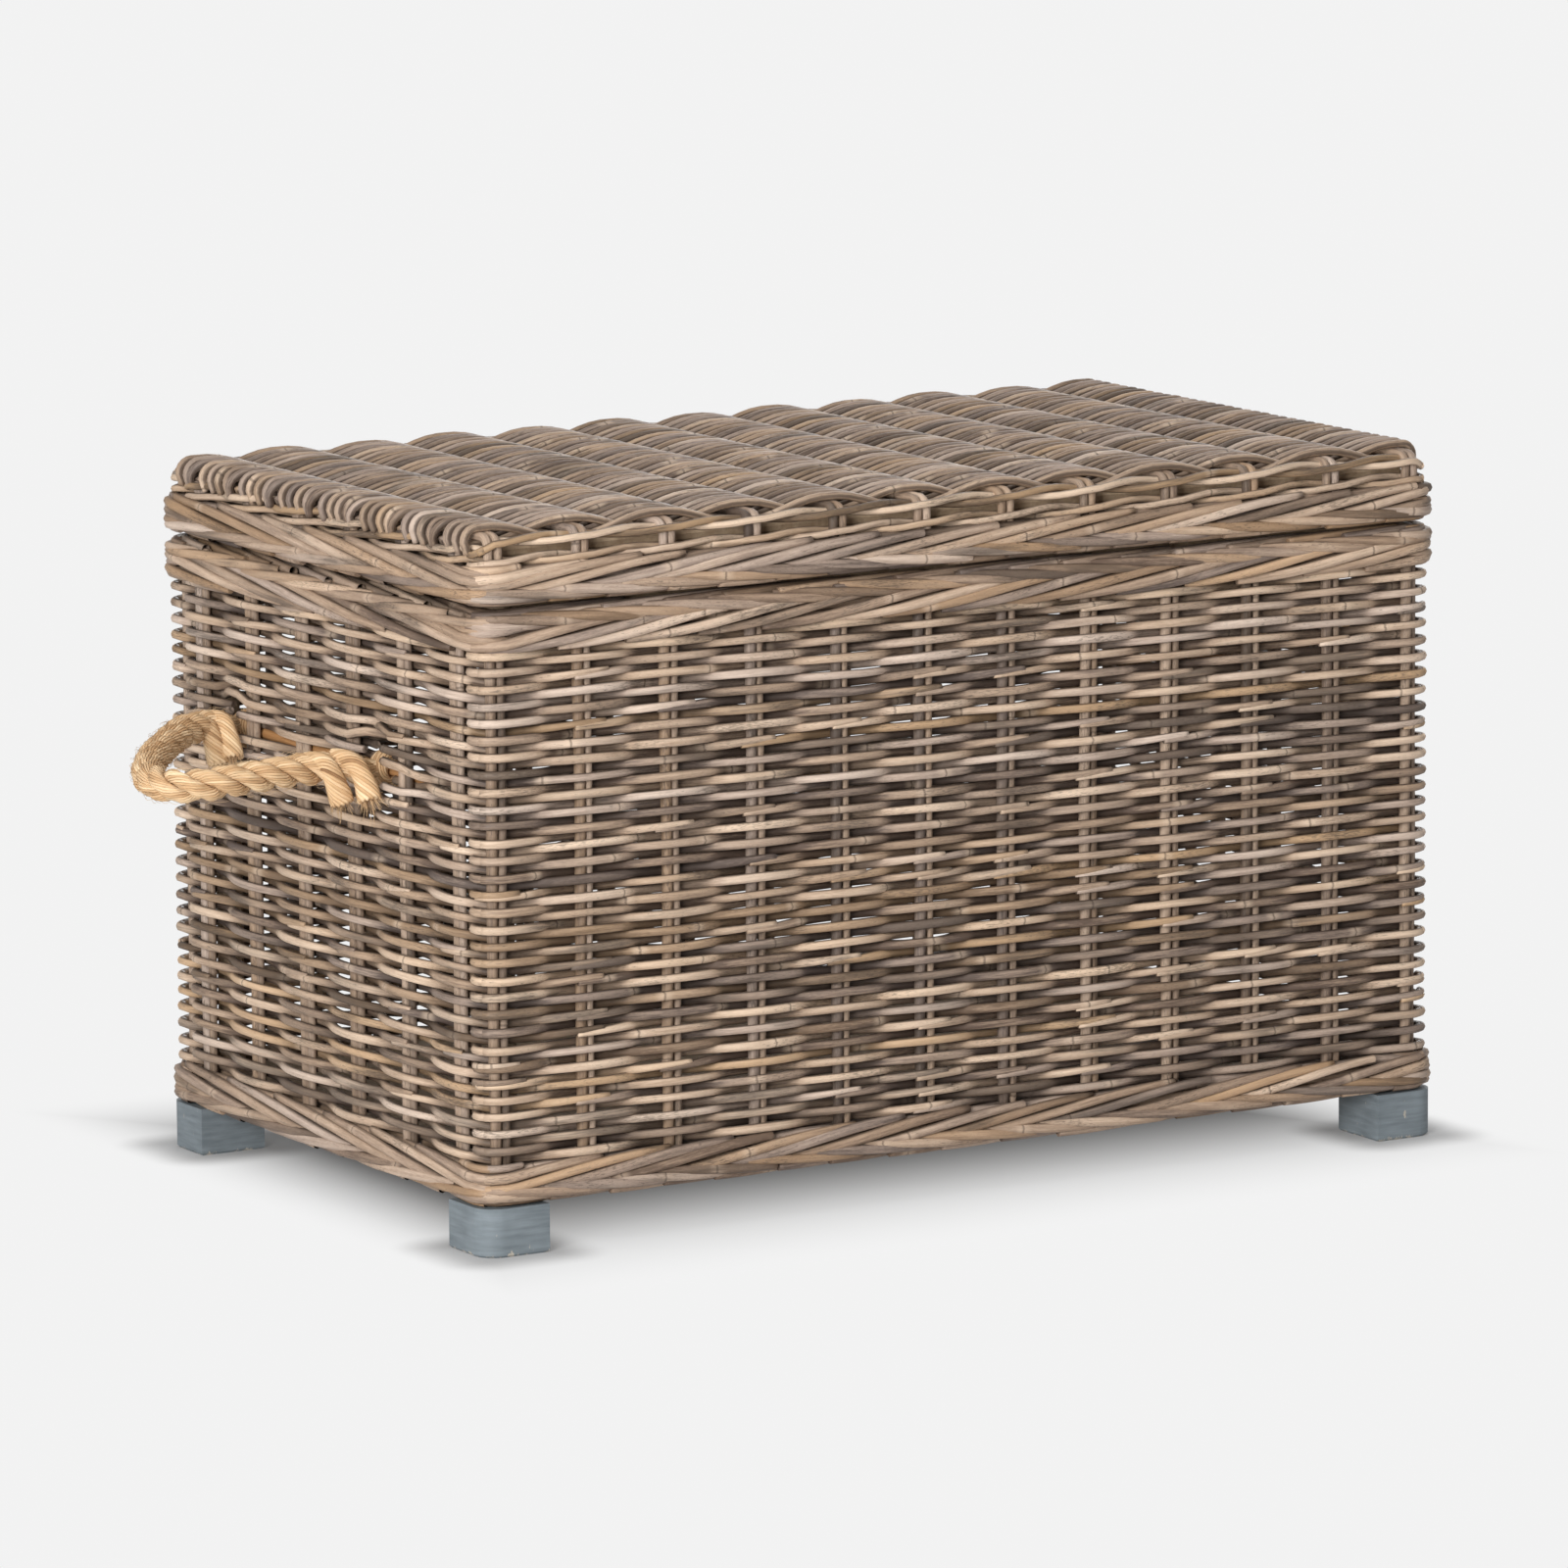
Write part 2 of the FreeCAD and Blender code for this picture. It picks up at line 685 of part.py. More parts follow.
# Poles that carry the ribs inside the lid
lid_pole_radius = lid_pole / 2
lid_rail_z = rib_z - rib_radius - seat - lid_pole_radius
lid_rail_x = line_x - wall_half - seat - lid_pole_radius
lid_rail_y = line_y - wall_half - seat - lid_pole_radius
for name, s in ENDS.items():
    reach = lid_rail_x + lid_pole_radius
    y = s * lid_rail_y
    parts[name + "_lid_rail"] = pole(
        lid_pole_radius, Vec(-reach, y, lid_rail_z), Vec(reach, y, lid_rail_z)
    )
for name, s in SIDES.items():
    reach = lid_rail_y - lid_pole_radius - seat
    x = s * lid_rail_x
    parts[name + "_lid_rail"] = pole(
        lid_pole_radius, Vec(x, -reach, lid_rail_z), Vec(x, reach, lid_rail_z)
    )

# Hinges: two leaves in the seam, on a pin in the groove behind it
axis_y = half_width - border_round + hinge_offset
leaf_back_y = border_inner_y + seat
knuckle_length = hinge_length / knuckle_count
screw_y = leaf_back_y + hinge_screw_setback
groove_radius = knuckle_radius + knuckle_gap
bore_radius = (pin_radius + pin_fit) / math.cos(math.pi / pole_sides)
round_reach = math.hypot(hinge_offset, border_round + seam_gap / 2)
groove_angle = 2 * math.degrees(math.pi - math.atan2(border_round + seam_gap / 2, hinge_offset))
touch_angle = 2 * math.degrees(math.asin(border_round / round_reach))
print("lid opens to", round(groove_angle - touch_angle, 1), "degrees before the borders touch")
print("hinge axis", [0, axis_y, seam_z], "rope axis", [rod_x, 0, handle_height])


def hinge_leaf(x, lower):
    """Leaf with its share of the knuckles; the lower one takes both ends."""
    low_z = seam_low_z if lower else lid_border_z - leaf_thickness
    plate = box(
        (x - hinge_length / 2, leaf_back_y, low_z),
        (x + hinge_length / 2, axis_y, low_z + leaf_thickness),
    )
    for number in range(knuckle_count):
        own = (number % 2 == 0) == lower
        start = x - hinge_length / 2 + number * knuckle_length
        gap = knuckle_gap / 2 if own else -knuckle_gap / 2
        left = start + (gap if number > 0 else 0)
        right = start + knuckle_length - (gap if number < knuckle_count - 1 else 0)
        if own:
            barrel_ends = [Vec(end, axis_y, seam_z) for end in (left, right)]
            plate = plate.fuse(bar(screw_sides, knuckle_radius, barrel_ends))
        else:
            room_low = (left, axis_y - groove_radius, low_z - overrun)
            plate = plate.cut(box(room_low, (right, axis_y, low_z + overrun)))
    bore_ends = [Vec(x + s * hinge_length, axis_y, seam_z) for s in (-1, 1)]
    return plate.cut(pole(bore_radius, *bore_ends)).removeSplitter()


def hinge_screw(x, lower, extra):
    """Countersunk screw, or the room for it, pointing away from the seam."""
    way = -Z_AXIS if lower else Z_AXIS
    face = seam_low_z + leaf_thickness if lower else lid_border_z - leaf_thickness
    profile = [
        (-extra, hinge_screw_head_radius + extra),
        (0, hinge_screw_head_radius + extra),
        (leaf_thickness, hinge_screw_radius + extra),
        (hinge_screw_length + extra, hinge_screw_radius + extra),
    ]
    return turned(screw_sides, Vec(x, screw_y, face), way, profile[0 if extra else 1 :])


screws = {True: [], False: []}
leaves = {True: [], False: []}
pins = []
borders = {True: top_border, False: lid_border}
for s in SIDES.values():
    x = s * hinge_place_share * trunk_length
    notch = pole(
        groove_radius,
        Vec(x - hinge_length / 2 - knuckle_gap - pin_head_height, axis_y, seam_z),
        Vec(x + hinge_length / 2 + knuckle_gap + pin_head_height, axis_y, seam_z),
    )
    for lower in (True, False):
        leaf = hinge_leaf(x, lower)
        borders[lower] = borders[lower].cut(notch)
        for step in (-1, 1):
            place = x + step * hinge_screw_spacing
            leaf = leaf.cut(hinge_screw(place, lower, screw_fit))
            borders[lower] = borders[lower].cut(hinge_screw(place, lower, screw_fit))
            screws[lower].append(hinge_screw(place, lower, 0))
        leaves[lower].append(one_solid(leaf))
    start = Vec(x - hinge_length / 2, axis_y, seam_z)
    stop = start + X_AXIS * hinge_length
    pin = Part.makeCylinder(pin_radius, hinge_length, start, X_AXIS)
    for near, far in ((start - X_AXIS * pin_head_height, start), (stop, stop + X_AXIS * pin_head_height)):
        pin = pin.fuse(bar(screw_sides, pin_head_radius, [near, far]))
    pins.append(one_solid(pin))
parts["base_border"] = one_solid(base_border)
parts["top_border"] = one_solid(borders[True])
parts["lid_border"] = one_solid(borders[False])
parts["hinge_pins"] = group(pins)
parts["hinge_body_leaves"] = group(leaves[True])
parts["hinge_lid_leaves"] = group(leaves[False])
parts["hinge_body_screws"] = group(screws[True])
parts["hinge_lid_screws"] = group(screws[False])

os.makedirs("parts", exist_ok=True)
for name, shape in parts.items():
    if not shape.isValid():
        print("invalid", name)
    shape.exportStep("parts/" + name + ".step")
print(len(parts), "parts,", sum(len(s.Solids) for s in parts.values()), "solids")
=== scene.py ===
# %% [markdown]
# Wicker trunk with rope handles
#
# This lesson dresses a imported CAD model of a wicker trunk. The CAD part holds
# the true sizes: walls, borders, lid, feet, hinges and two rope handles. Here
# every cane of the weave is laid as a real strand, at the place where the CAD
# part says that its wall, border or lid is.

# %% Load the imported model
import math

import bpy
import numpy as np
from mathutils import Matrix, Vector


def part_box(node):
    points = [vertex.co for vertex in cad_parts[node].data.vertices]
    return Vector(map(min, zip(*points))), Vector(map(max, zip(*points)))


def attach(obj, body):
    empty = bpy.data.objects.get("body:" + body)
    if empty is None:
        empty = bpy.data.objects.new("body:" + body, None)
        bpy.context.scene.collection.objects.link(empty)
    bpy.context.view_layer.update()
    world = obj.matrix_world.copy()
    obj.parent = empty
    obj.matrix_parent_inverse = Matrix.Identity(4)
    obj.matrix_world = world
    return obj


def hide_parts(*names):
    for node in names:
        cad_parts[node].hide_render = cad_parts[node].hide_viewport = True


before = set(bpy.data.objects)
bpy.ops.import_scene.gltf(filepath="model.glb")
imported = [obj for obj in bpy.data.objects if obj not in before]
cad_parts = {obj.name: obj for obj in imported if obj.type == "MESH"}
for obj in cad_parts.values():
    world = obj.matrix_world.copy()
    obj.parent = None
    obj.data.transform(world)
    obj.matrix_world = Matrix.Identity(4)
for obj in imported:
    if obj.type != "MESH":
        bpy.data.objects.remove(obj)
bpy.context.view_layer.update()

# %% [markdown]
# Camera
#
# The photograph was taken from the left front, a little above the lid, with a
# long lens. Its place and turn were worked out from the corners of the borders
# and the feet, so the camera is given by a point, three angles and a lens.

# %% The photograph's camera
eye_point = Vector((-4.526, -7.577, 1.814))
yaw, pitch, roll = (math.radians(a) for a in (30.755, 9.557, -0.444))
picture_side = 1600
focal_pixels = 10100.0
film_width = 36.0

forward = Vector((math.sin(yaw) * math.cos(pitch), math.cos(yaw) * math.cos(pitch), -math.sin(pitch)))
level = Vector((math.cos(yaw), -math.sin(yaw), 0.0))
upward = level.cross(forward)
across = level * math.cos(roll) + upward * math.sin(roll)
upward = upward * math.cos(roll) - level * math.sin(roll)

lens = bpy.data.cameras.new("photo_camera")
lens.sensor_width = film_width
lens.lens = film_width * focal_pixels / picture_side
lens.clip_start, lens.clip_end = 0.1, 100.0
camera = bpy.data.objects.new("photo_camera", lens)
bpy.context.collection.objects.link(camera)
turn = Matrix((across, upward, -forward)).transposed()
camera.matrix_world = Matrix.LocRotScale(eye_point, turn.to_quaternion(), None)
bpy.context.scene.camera = camera
print("lens", round(lens.lens, 1), "mm")

# %% [markdown]
# One way to lay every cane
#
# A cane, a yarn and a rope strand are the same thing to a modeller: a round
# bar that follows a line. A curve's bevel gives no measure along the cane, and
# the streaks, joints and stains of rattan need one. So a straight bar is made
# once for each length, from a cylinder whose sides are subdivided in edit
# mode, and it is bent along its line by moving its rings. Each bar keeps a
# map: U is metres along the cane and V goes once round it.

# %% Straight stock, made with the cylinder and the subdivide operators
stocks = {}


def stock(sides, rings):
    """Straight bar of that many sides and rings, read as plain arrays."""
    key = (sides, rings)
    if key in stocks:
        return stocks[key]
    bpy.ops.object.select_all(action="DESELECT")
    bpy.ops.mesh.primitive_cylinder_add(vertices=sides, radius=1.0, depth=1.0, end_fill_type="NGON")
    blank = bpy.context.object
    mesh = blank.data
    if rings > 2:
        bpy.context.tool_settings.mesh_select_mode = (False, True, False)
        bpy.ops.object.mode_set(mode="EDIT")
        bpy.ops.mesh.select_all(action="DESELECT")
        bpy.ops.object.mode_set(mode="OBJECT")
        for edge in mesh.edges:
            low, high = (mesh.vertices[v].co.z for v in edge.vertices)
            edge.select = abs(low - high) > 0.5
        bpy.ops.object.mode_set(mode="EDIT")
        bpy.ops.mesh.subdivide(number_cuts=rings - 2)
        bpy.ops.object.mode_set(mode="OBJECT")
    places = np.array([v.co for v in mesh.vertices])
    ring = np.rint((places[:, 2] + 0.5) * (rings - 1)).astype(int)
    share = np.mod(np.arctan2(places[:, 1], places[:, 0]) / (2 * np.pi), 1.0)
    corners = np.array([loop.vertex_index for loop in mesh.loops])
    sizes = np.array([p.loop_total for p in mesh.polygons])
    starts = np.concatenate([[0], np.cumsum(sizes)[:-1]])
    round_share = share[corners].copy()
    for start, size in zip(starts, sizes):
        part = round_share[start:start + size]
        if size == 4 and part.max() - part.min() > 0.5:
            part[part < 0.5] += 1.0
    bpy.data.objects.remove(blank)
    bpy.data.meshes.remove(mesh)
    stocks[key] = (ring, share * 2 * np.pi, corners, sizes, round_share)
    return stocks[key]


def unit(vectors):
    """The same directions, each one long."""
    return vectors / np.maximum(np.linalg.norm(vectors, axis=-1, keepdims=True), 1e-9)


def lengths_along(line):
    """Distance from the line's start to each of its points."""
    steps = np.linalg.norm(np.diff(line, axis=0), axis=1)
    return np.concatenate([[0.0], np.cumsum(steps)])


def frames_along(line):
    """Two directions square to the line, carried along it without twist."""
    heading = unit(np.gradient(line, axis=0))
    start = np.array([0.0, 0.0, 1.0]) if abs(heading[0][2]) < 0.9 else np.array([1.0, 0.0, 0.0])
    first = np.cross(start, heading[0])
    carried = []
    for way in heading:
        first = first - way * first.dot(way)
        first = first / np.linalg.norm(first)
        carried.append(first)
    first = np.array(carried)
    return first, np.cross(heading, first)


def smooth(value):
    """Ease from 0 to 1, level at both ends."""
    value = np.clip(value, 0.0, 1.0)
    return value * value * (3 - 2 * value)


# %% A bundle of canes becomes one piece
# How dark the painted shade makes the faces of a weaver that look into the wall.
gap_shade_dark = 0.6


class Bundle:
    """Canes laid one after another, to become one mesh."""

    def __init__(self):
        self.points, self.corners, self.sizes, self.maps, self.tones = [], [], [], [], []
        self.count = 0

    def lay(self, line, radius, tone, sides=8, start=0.0, upright=None, under_shade=0.0, depth=None):
        """Bend a bar of stock along the line. tone is four numbers for the finish.

        upright is a direction that the bar's seam keeps to. grime darkens the bar
        ring by ring, a painted shade. depth is 1 where a weaver is outermost and -1
        where it is innermost: the faces that look at the middle of the wall get a
        painted shade.
        """
        line = np.asarray(line, float)
        ring, angle, corners, sizes, round_share = stock(sides, len(line))
        if upright is None:
            first, second = frames_along(line)
        else:
            heading = unit(np.gradient(line, axis=0))
            first = unit(np.cross(np.asarray(upright, float), heading))
            second = np.cross(heading, first)
        radius = np.broadcast_to(radius, len(line))
        way = lengths_along(line) + start
        spread = first[ring] * np.cos(angle)[:, None] + second[ring] * np.sin(angle)[:, None]
        self.points.append(line[ring] + spread * radius[ring][:, None])
        self.corners.append(corners + self.count)
        self.sizes.append(sizes)
        self.maps.append(np.stack([way[ring][corners], round_share], axis=1))
        tones = np.tile(np.asarray(tone, float), (len(ring), 1))
        # Painted shade: the bar is darkened ring by ring, and on the faces that look into the wall.
        tones[:, 0] -= np.broadcast_to(under_shade, len(line))[ring]
        if depth is not None:
            tones[:, 0] -= gap_shade_dark * smooth(0.5 + 0.9 * np.cos(angle) * depth[ring])
        self.tones.append(tones)
        self.count += len(ring)

    def piece(self, name, finish):
        """The mesh object of all canes in the bundle."""
        points, corners = np.concatenate(self.points), np.concatenate(self.corners)
        sizes = np.concatenate(self.sizes)
        mesh = bpy.data.meshes.new(name)
        mesh.vertices.add(len(points))
        mesh.vertices.foreach_set("co", points.astype(np.float32).ravel())
        mesh.loops.add(len(corners))
        mesh.loops.foreach_set("vertex_index", corners.astype(np.int32))
        mesh.polygons.add(len(sizes))
        starts = np.concatenate([[0], np.cumsum(sizes)[:-1]])
        mesh.polygons.foreach_set("loop_start", starts.astype(np.int32))
        mesh.update(calc_edges=True)
        mesh.polygons.foreach_set("use_smooth", (sizes == 4))
        layer = mesh.uv_layers.new(name="UVMap")
        layer.data.foreach_set("uv", np.concatenate(self.maps).astype(np.float32).ravel())
        tones = mesh.attributes.new("tone", "FLOAT_COLOR", "POINT")
        tones.data.foreach_set("color", np.concatenate(self.tones).astype(np.float32).ravel())
        mesh.update()
        piece = bpy.data.objects.new(name, mesh)
        bpy.context.collection.objects.link(piece)
        mesh.materials.append(finish)
        print(name, len(self.points), "canes,", int((sizes - 2).sum()), "triangles")
        return piece


# %% [markdown]
# Shader sums
#
# A finish is a net of nodes. To keep it readable, a value that varies over the
# surface is wrapped in a small class, so that plus, minus and times add the
# Math nodes by themselves. Every other node comes from one method.

# %% The finish bench
class Amount:
    """A number that varies over a surface."""

    def __init__(self, bench, socket):
        self.bench, self.socket = bench, socket

    def sum(self, operation, *others):
        return self.bench.number("ShaderNodeMath", (self, *others), operation=operation)

    def __add__(self, other):
        return self.sum("ADD", other)

    def __sub__(self, other):
        return self.sum("SUBTRACT", other)

    def __mul__(self, other):
        return self.sum("MULTIPLY", other)

    def __rsub__(self, other):
        return self.bench.number("ShaderNodeMath", (other, self), operation="SUBTRACT")

    __radd__ = __add__
    __rmul__ = __mul__


class Bench:
    """The nodes of a material or a world, added one by one."""

    def __init__(self, owner):
        owner.use_nodes = True
        self.owner, self.tree = owner, owner.node_tree
        self.shader = self.tree.nodes.get("Principled BSDF")

    def add(self, kind, inputs=(), **settings):
        """One node with its settings, and its inputs by place or name."""
        node = self.tree.nodes.new(kind)
        for name, value in settings.items():
            setattr(node, name, value)
        pairs = inputs.items() if isinstance(inputs, dict) else enumerate(inputs)
        for key, value in pairs:
            self.feed(node.inputs[key], value)
        return node

    def feed(self, socket, value):
        value = getattr(value, "socket", value)
        if isinstance(value, bpy.types.NodeSocket):
            self.tree.links.new(value, socket)
        else:
            socket.default_value = value

    def number(self, kind, inputs=(), output=0, **settings):
        return Amount(self, self.add(kind, inputs, **settings).outputs[output])

    def point(self, x, y, z=0.0):
        return self.add("ShaderNodeCombineXYZ", (x, y, z)).outputs[0]

    def split(self, socket):
        return [Amount(self, part) for part in self.add("ShaderNodeSeparateXYZ", (socket,)).outputs]

    def place(self, stretch_by=None):
        """Object coordinates, times these factors where a pattern is longer one way."""
        place = self.add("ShaderNodeTexCoord").outputs["Object"]
        if stretch_by is None:
            return place
        return self.add("ShaderNodeMapping", {"Vector": place, "Scale": stretch_by}).outputs[0]

    def vector(self, operation, *places):
        return self.add("ShaderNodeVectorMath", places, operation=operation).outputs[0]

    def along_cane(self):
        """Metres along the cane, the share round it, and its tone with its seed."""
        u, v, _ = self.split(self.add("ShaderNodeUVMap", uv_map="UVMap").outputs[0])
        tone = self.add("ShaderNodeAttribute", attribute_name="tone").outputs
        return u, v, self.split(tone["Vector"]), Amount(self, tone["Alpha"])

    def seen(self):
        """1 on what the camera sees, also in gloss and through glass."""
        rays = self.add("ShaderNodeLightPath").outputs
        camera, gloss, through = (
            Amount(self, rays[f"Is {kind} Ray"]) for kind in ("Camera", "Glossy", "Transmission")
        )
        return camera.sum("MAXIMUM", gloss).sum("MAXIMUM", through)

    def noise(self, place, scale=1.0, detail=2.0, roughness=0.5):
        inputs = {"Vector": place, "Scale": scale, "Detail": detail, "Roughness": roughness}
        return self.number("ShaderNodeTexNoise", inputs)

    def between(self, value, low, high, to_low=0.0, to_high=1.0):
        """Smooth step from one value to another."""
        inputs = (value, low, high, to_low, to_high)
        return self.number("ShaderNodeMapRange", inputs, interpolation_type="SMOOTHSTEP")

    def ramp(self, value, stops):
        node = self.add("ShaderNodeValToRGB", (value,))
        elements = node.color_ramp.elements
        while len(elements) < len(stops):
            elements.new(0.5)
        for element, (place, colour) in zip(elements, stops):
            element.position = place
            element.color = (*colour, 1.0)
        return node.outputs[0]

    def mix(self, factor, first, second):
        node = self.add("ShaderNodeMix", data_type="RGBA")
        for place, value in ((0, factor), (6, first), (7, second)):
            colour = isinstance(value, tuple) and len(value) == 3
            self.feed(node.inputs[place], (*value, 1.0) if colour else value)
        return node.outputs[2]

    def bump(self, height, distance, strength):
        inputs = {"Strength": strength, "Distance": distance, "Height": height}
        self.feed(self.shader.inputs["Normal"], self.add("ShaderNodeBump", inputs).outputs[0])

    def surface(self, colour, roughness, **plain):
        self.feed(self.shader.inputs["Base Color"], colour)
        self.feed(self.shader.inputs["Roughness"], roughness)
        for name, value in plain.items():
            self.shader.inputs[name.replace("_", " ")].default_value = value
        return self.owner


# %% [markdown]
# The cane finish
#
# Kubu rattan is cured in mud, so it dries to greys and browns that change from
# strand to strand. Along one strand there are fine fibre streaks, soft
# blotches, dark stains, and a thin dark ring at each joint of the vine. A
# painted shade darkens the sides where two canes of a weave meet. The four
# numbers of a cane's tone say how light it is, less the painted shade laid on
# where it lies in a gap or under another cane, how tan, how stained, and where
# its joints and streaks start.

# %% Cane finish
joint_step = 0.34
grey_stops = (
    (0.12, (0.095, 0.071, 0.060)), (0.5, (0.375, 0.288, 0.235)), (0.92, (0.66, 0.54, 0.455)),
)


def dim(colour, share):
    """The same colour, as dark as the share says."""
    return tuple(c * share for c in colour)


def cane_finish(name, dark, middle, light, tan, side_shade=0.0):
    """soil says how dark the painted shade makes the sides that meet the next cane."""
    bench = Bench(bpy.data.materials.new(name))
    u, v, (lightness_and_shade, tan_share, stain_share), seed = bench.along_cane()
    streak_place = bench.point(u * 22.0 + seed * 31.0, v * 9.0, seed * 57.0)
    streaks = bench.noise(streak_place, detail=3.0, roughness=0.6)
    grain_place = bench.point(u * 160.0, v * 30.0 + seed * 9.0, seed * 91.0)
    grain = bench.noise(grain_place, roughness=0.6)
    blotches = bench.noise(bench.point(u * 9.0 + seed * 17.0, v * 0.8, seed * 43.0))
    # The tone's first number carries the painted shade laid on the canes as well as how light they
    # are.
    body = lightness_and_shade * 0.62 + blotches * 0.38 + streaks * 0.80 + grain * 0.40 - 0.59
    colour = bench.ramp(body, ((0.12, dark), (0.5, middle), (0.92, light)))
    tan_mask = bench.between(tan_share + blotches * 0.35 - 0.17, 0.35, 0.95)
    colour = bench.mix(tan_mask * 0.75, colour, bench.mix(body, dim(tan, 0.5), tan))
    grey_mask = bench.between(tan_share + blotches * 0.3 - 0.15, 0.0, 0.3, 1.0, 0.0)
    colour = bench.mix(grey_mask * 0.8, colour, bench.ramp(body, grey_stops))
    phase = (u * (1.0 / joint_step) + seed * 7.3).sum("FRACT")
    wobble = (bench.noise(bench.point(v * 3.0, seed * 77.0), scale=2.0) - 0.5) * 0.01
    from_joint = (phase - 0.5 + wobble).sum("ABSOLUTE") * joint_step
    ring = bench.between(from_joint, 0.0005, 0.0014, 1.0, 0.0)
    collar = bench.between(from_joint, 0.002, 0.011, 1.0, 0.0)
    colour = bench.mix(collar * 0.35, colour, light)
    stains = bench.between(blotches * 0.6 + streaks * 0.4 + stain_share * 0.35, 0.66, 0.86)
    colour = bench.mix(stains * 0.75, colour, dim(dark, 0.35))
    specks = bench.between(grain * 0.7 + blotches * 0.5, 0.655, 0.755)
    colour = bench.mix(specks * 0.6, colour, dim(dark, 0.5))
    colour = bench.mix(ring * 0.5, colour, dim(dark, 0.45))
    # Painted shade on the sides of a cane that meet the next cane.
    if side_shade:
        facing = (v * (2 * math.pi)).sum("COSINE").sum("ABSOLUTE")
        gap = bench.between(facing, 0.2, 0.64, 1.0, 0.0)
        colour = bench.mix(gap * side_shade, colour, dim(dark, 0.5))
    bench.bump(streaks * 0.5 + grain * 0.35 + collar * 0.6 - ring * 0.9, 0.0005, 0.75)
    return bench.surface(colour, 0.47 + streaks * 0.25, Specular_IOR_Level=0.35)


kubu = cane_finish(
    "kubu_weave", dark=(0.100, 0.066, 0.048), middle=(0.425, 0.306, 0.217),
    light=(0.74, 0.575, 0.43), tan=(0.60, 0.385, 0.205), side_shade=0.7,
)
border_cane = cane_finish(
    "border_weave", dark=(0.120, 0.079, 0.056), middle=(0.38, 0.269, 0.19),
    light=(0.67, 0.51, 0.38), tan=(0.55, 0.34, 0.18), side_shade=0.5,
)
stake_cane = cane_finish(
    "stake_cane", dark=(0.100, 0.066, 0.048), middle=(0.36, 0.258, 0.185),
    light=(0.60, 0.45, 0.335), tan=(0.48, 0.30, 0.165),
)
print("cane finishes made")

# %% [markdown]
# The path round the trunk
#
# Every weaver and border cane runs round the trunk. Its place is given by the
# distance round the walls' middle line, how far it stands out from that line,
# and its height. The middle line is a rectangle with small round corners, and
# the CAD walls say where it lies.

# %% Middle line of the walls
front_low, front_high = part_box("front_wall")
left_low, left_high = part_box("left_wall")
half_y = -(front_low.y + front_high.y) / 2
half_x = -(left_low.x + left_high.x) / 2
corner_radius = 0.014
arc_points = 13
wall_low, wall_high = front_low.z, front_high.z


def middle_line():
    """Distances, places and outward directions round the rectangle."""
    places, outward = [], []
    straight_x, straight_y = half_x - corner_radius, half_y - corner_radius
    corners = [(-1, -1, 180), (1, -1, 270), (1, 1, 0), (-1, 1, 90)]
    for sx, sy, first in corners:
        for step in np.linspace(0.0, 90.0, arc_points):
            angle = math.radians(first + step)
            nx, ny = math.cos(angle), math.sin(angle)
            x, y = sx * straight_x + nx * corner_radius, sy * straight_y + ny * corner_radius
            places.append((x, y))
            outward.append((nx, ny))
    places.append(places[0])
    outward.append(outward[0])
    return lengths_along(places), np.array(places), np.array(outward)


line_way, line_place, line_out = middle_line()
round_length = line_way[-1]
corner_ways = [line_way[arc_points // 2 + arc_points * number] for number in range(4)]
wall_ranges = list(zip(corner_ways, corner_ways[1:] + [corner_ways[0] + round_length]))


def on_ring(way, out, height):
    """Points at these distances round the trunk, standing out and up."""
    way = np.mod(np.asarray(way, float), round_length)
    x, y = (np.interp(way, line_way, line_place[:, axis]) for axis in (0, 1))
    nx, ny = (np.interp(way, line_way, line_out[:, axis]) for axis in (0, 1))
    size = np.hypot(nx, ny)
    out = np.broadcast_to(out, way.shape)
    height = np.broadcast_to(height, way.shape)
    return np.stack([x + nx / size * out, y + ny / size * out, height], axis=1)


def way_at(x, y):
    """Distance round the trunk of a place on the middle line."""
    front, right, back, left = (line_way[arc_points * number - 1] for number in (1, 2, 3, 4))
    near = [
        (abs(y + half_y), front + x + half_x - corner_radius),
        (abs(x - half_x), right + y + half_y - corner_radius),
        (abs(y - half_y), back + half_x - corner_radius - x),
        (abs(x + half_x), left + half_y - corner_radius - y),
    ]
    return min(near)[1]


# %% Stake pairs round the trunk
pair_inset = 0.010
front_pitch = 2 * (half_x - pair_inset) / 11
end_pitch = half_y / 3
front_places = [-half_x + pair_inset + number * front_pitch for number in range(12)]
end_places = [-half_y + (number + 0.5) * end_pitch for number in range(6)]
pair_ways = np.array(
    [way_at(x, -half_y) for x in front_places]
    + [way_at(half_x, y) for y in end_places]
    + [way_at(-x, half_y) for x in front_places]
    + [way_at(-half_x, -y) for y in end_places]
)
marks = np.concatenate([pair_ways[-1:] - round_length, pair_ways, pair_ways[:1] + round_length])
straight_over = 0.00534
print(len(pair_ways), "stake pairs,", round(round_length, 3), "m round")


def sway(way, odd):
    """1 outside a stake pair, -1 inside the next, smooth between them."""
    way = np.mod(way, round_length)
    at = np.searchsorted(marks, way, side="right") - 1
    here, there = marks[at], marks[at + 1]
    share = np.clip((way - here - straight_over) / (there - here - 2 * straight_over), 0.0, 1.0)
    side = np.where((at + odd) % 2 == 0, 1.0, -1.0)
    return side * np.cos(np.pi * share)


dice = np.random.default_rng(31)


def cane_tone(light=0.5, spread=0.2, tan=0.32, stain=0.35):
    """Four random numbers: light, tan, stained, and a seed."""
    return (
        float(np.clip(dice.normal(light, spread), 0.0, 1.0)),
        float(np.clip(dice.normal(tan, 0.26), 0.0, 1.0)),
        float(np.clip(dice.normal(stain, 0.25), 0.0, 1.0)),
        float(dice.random()),
    )


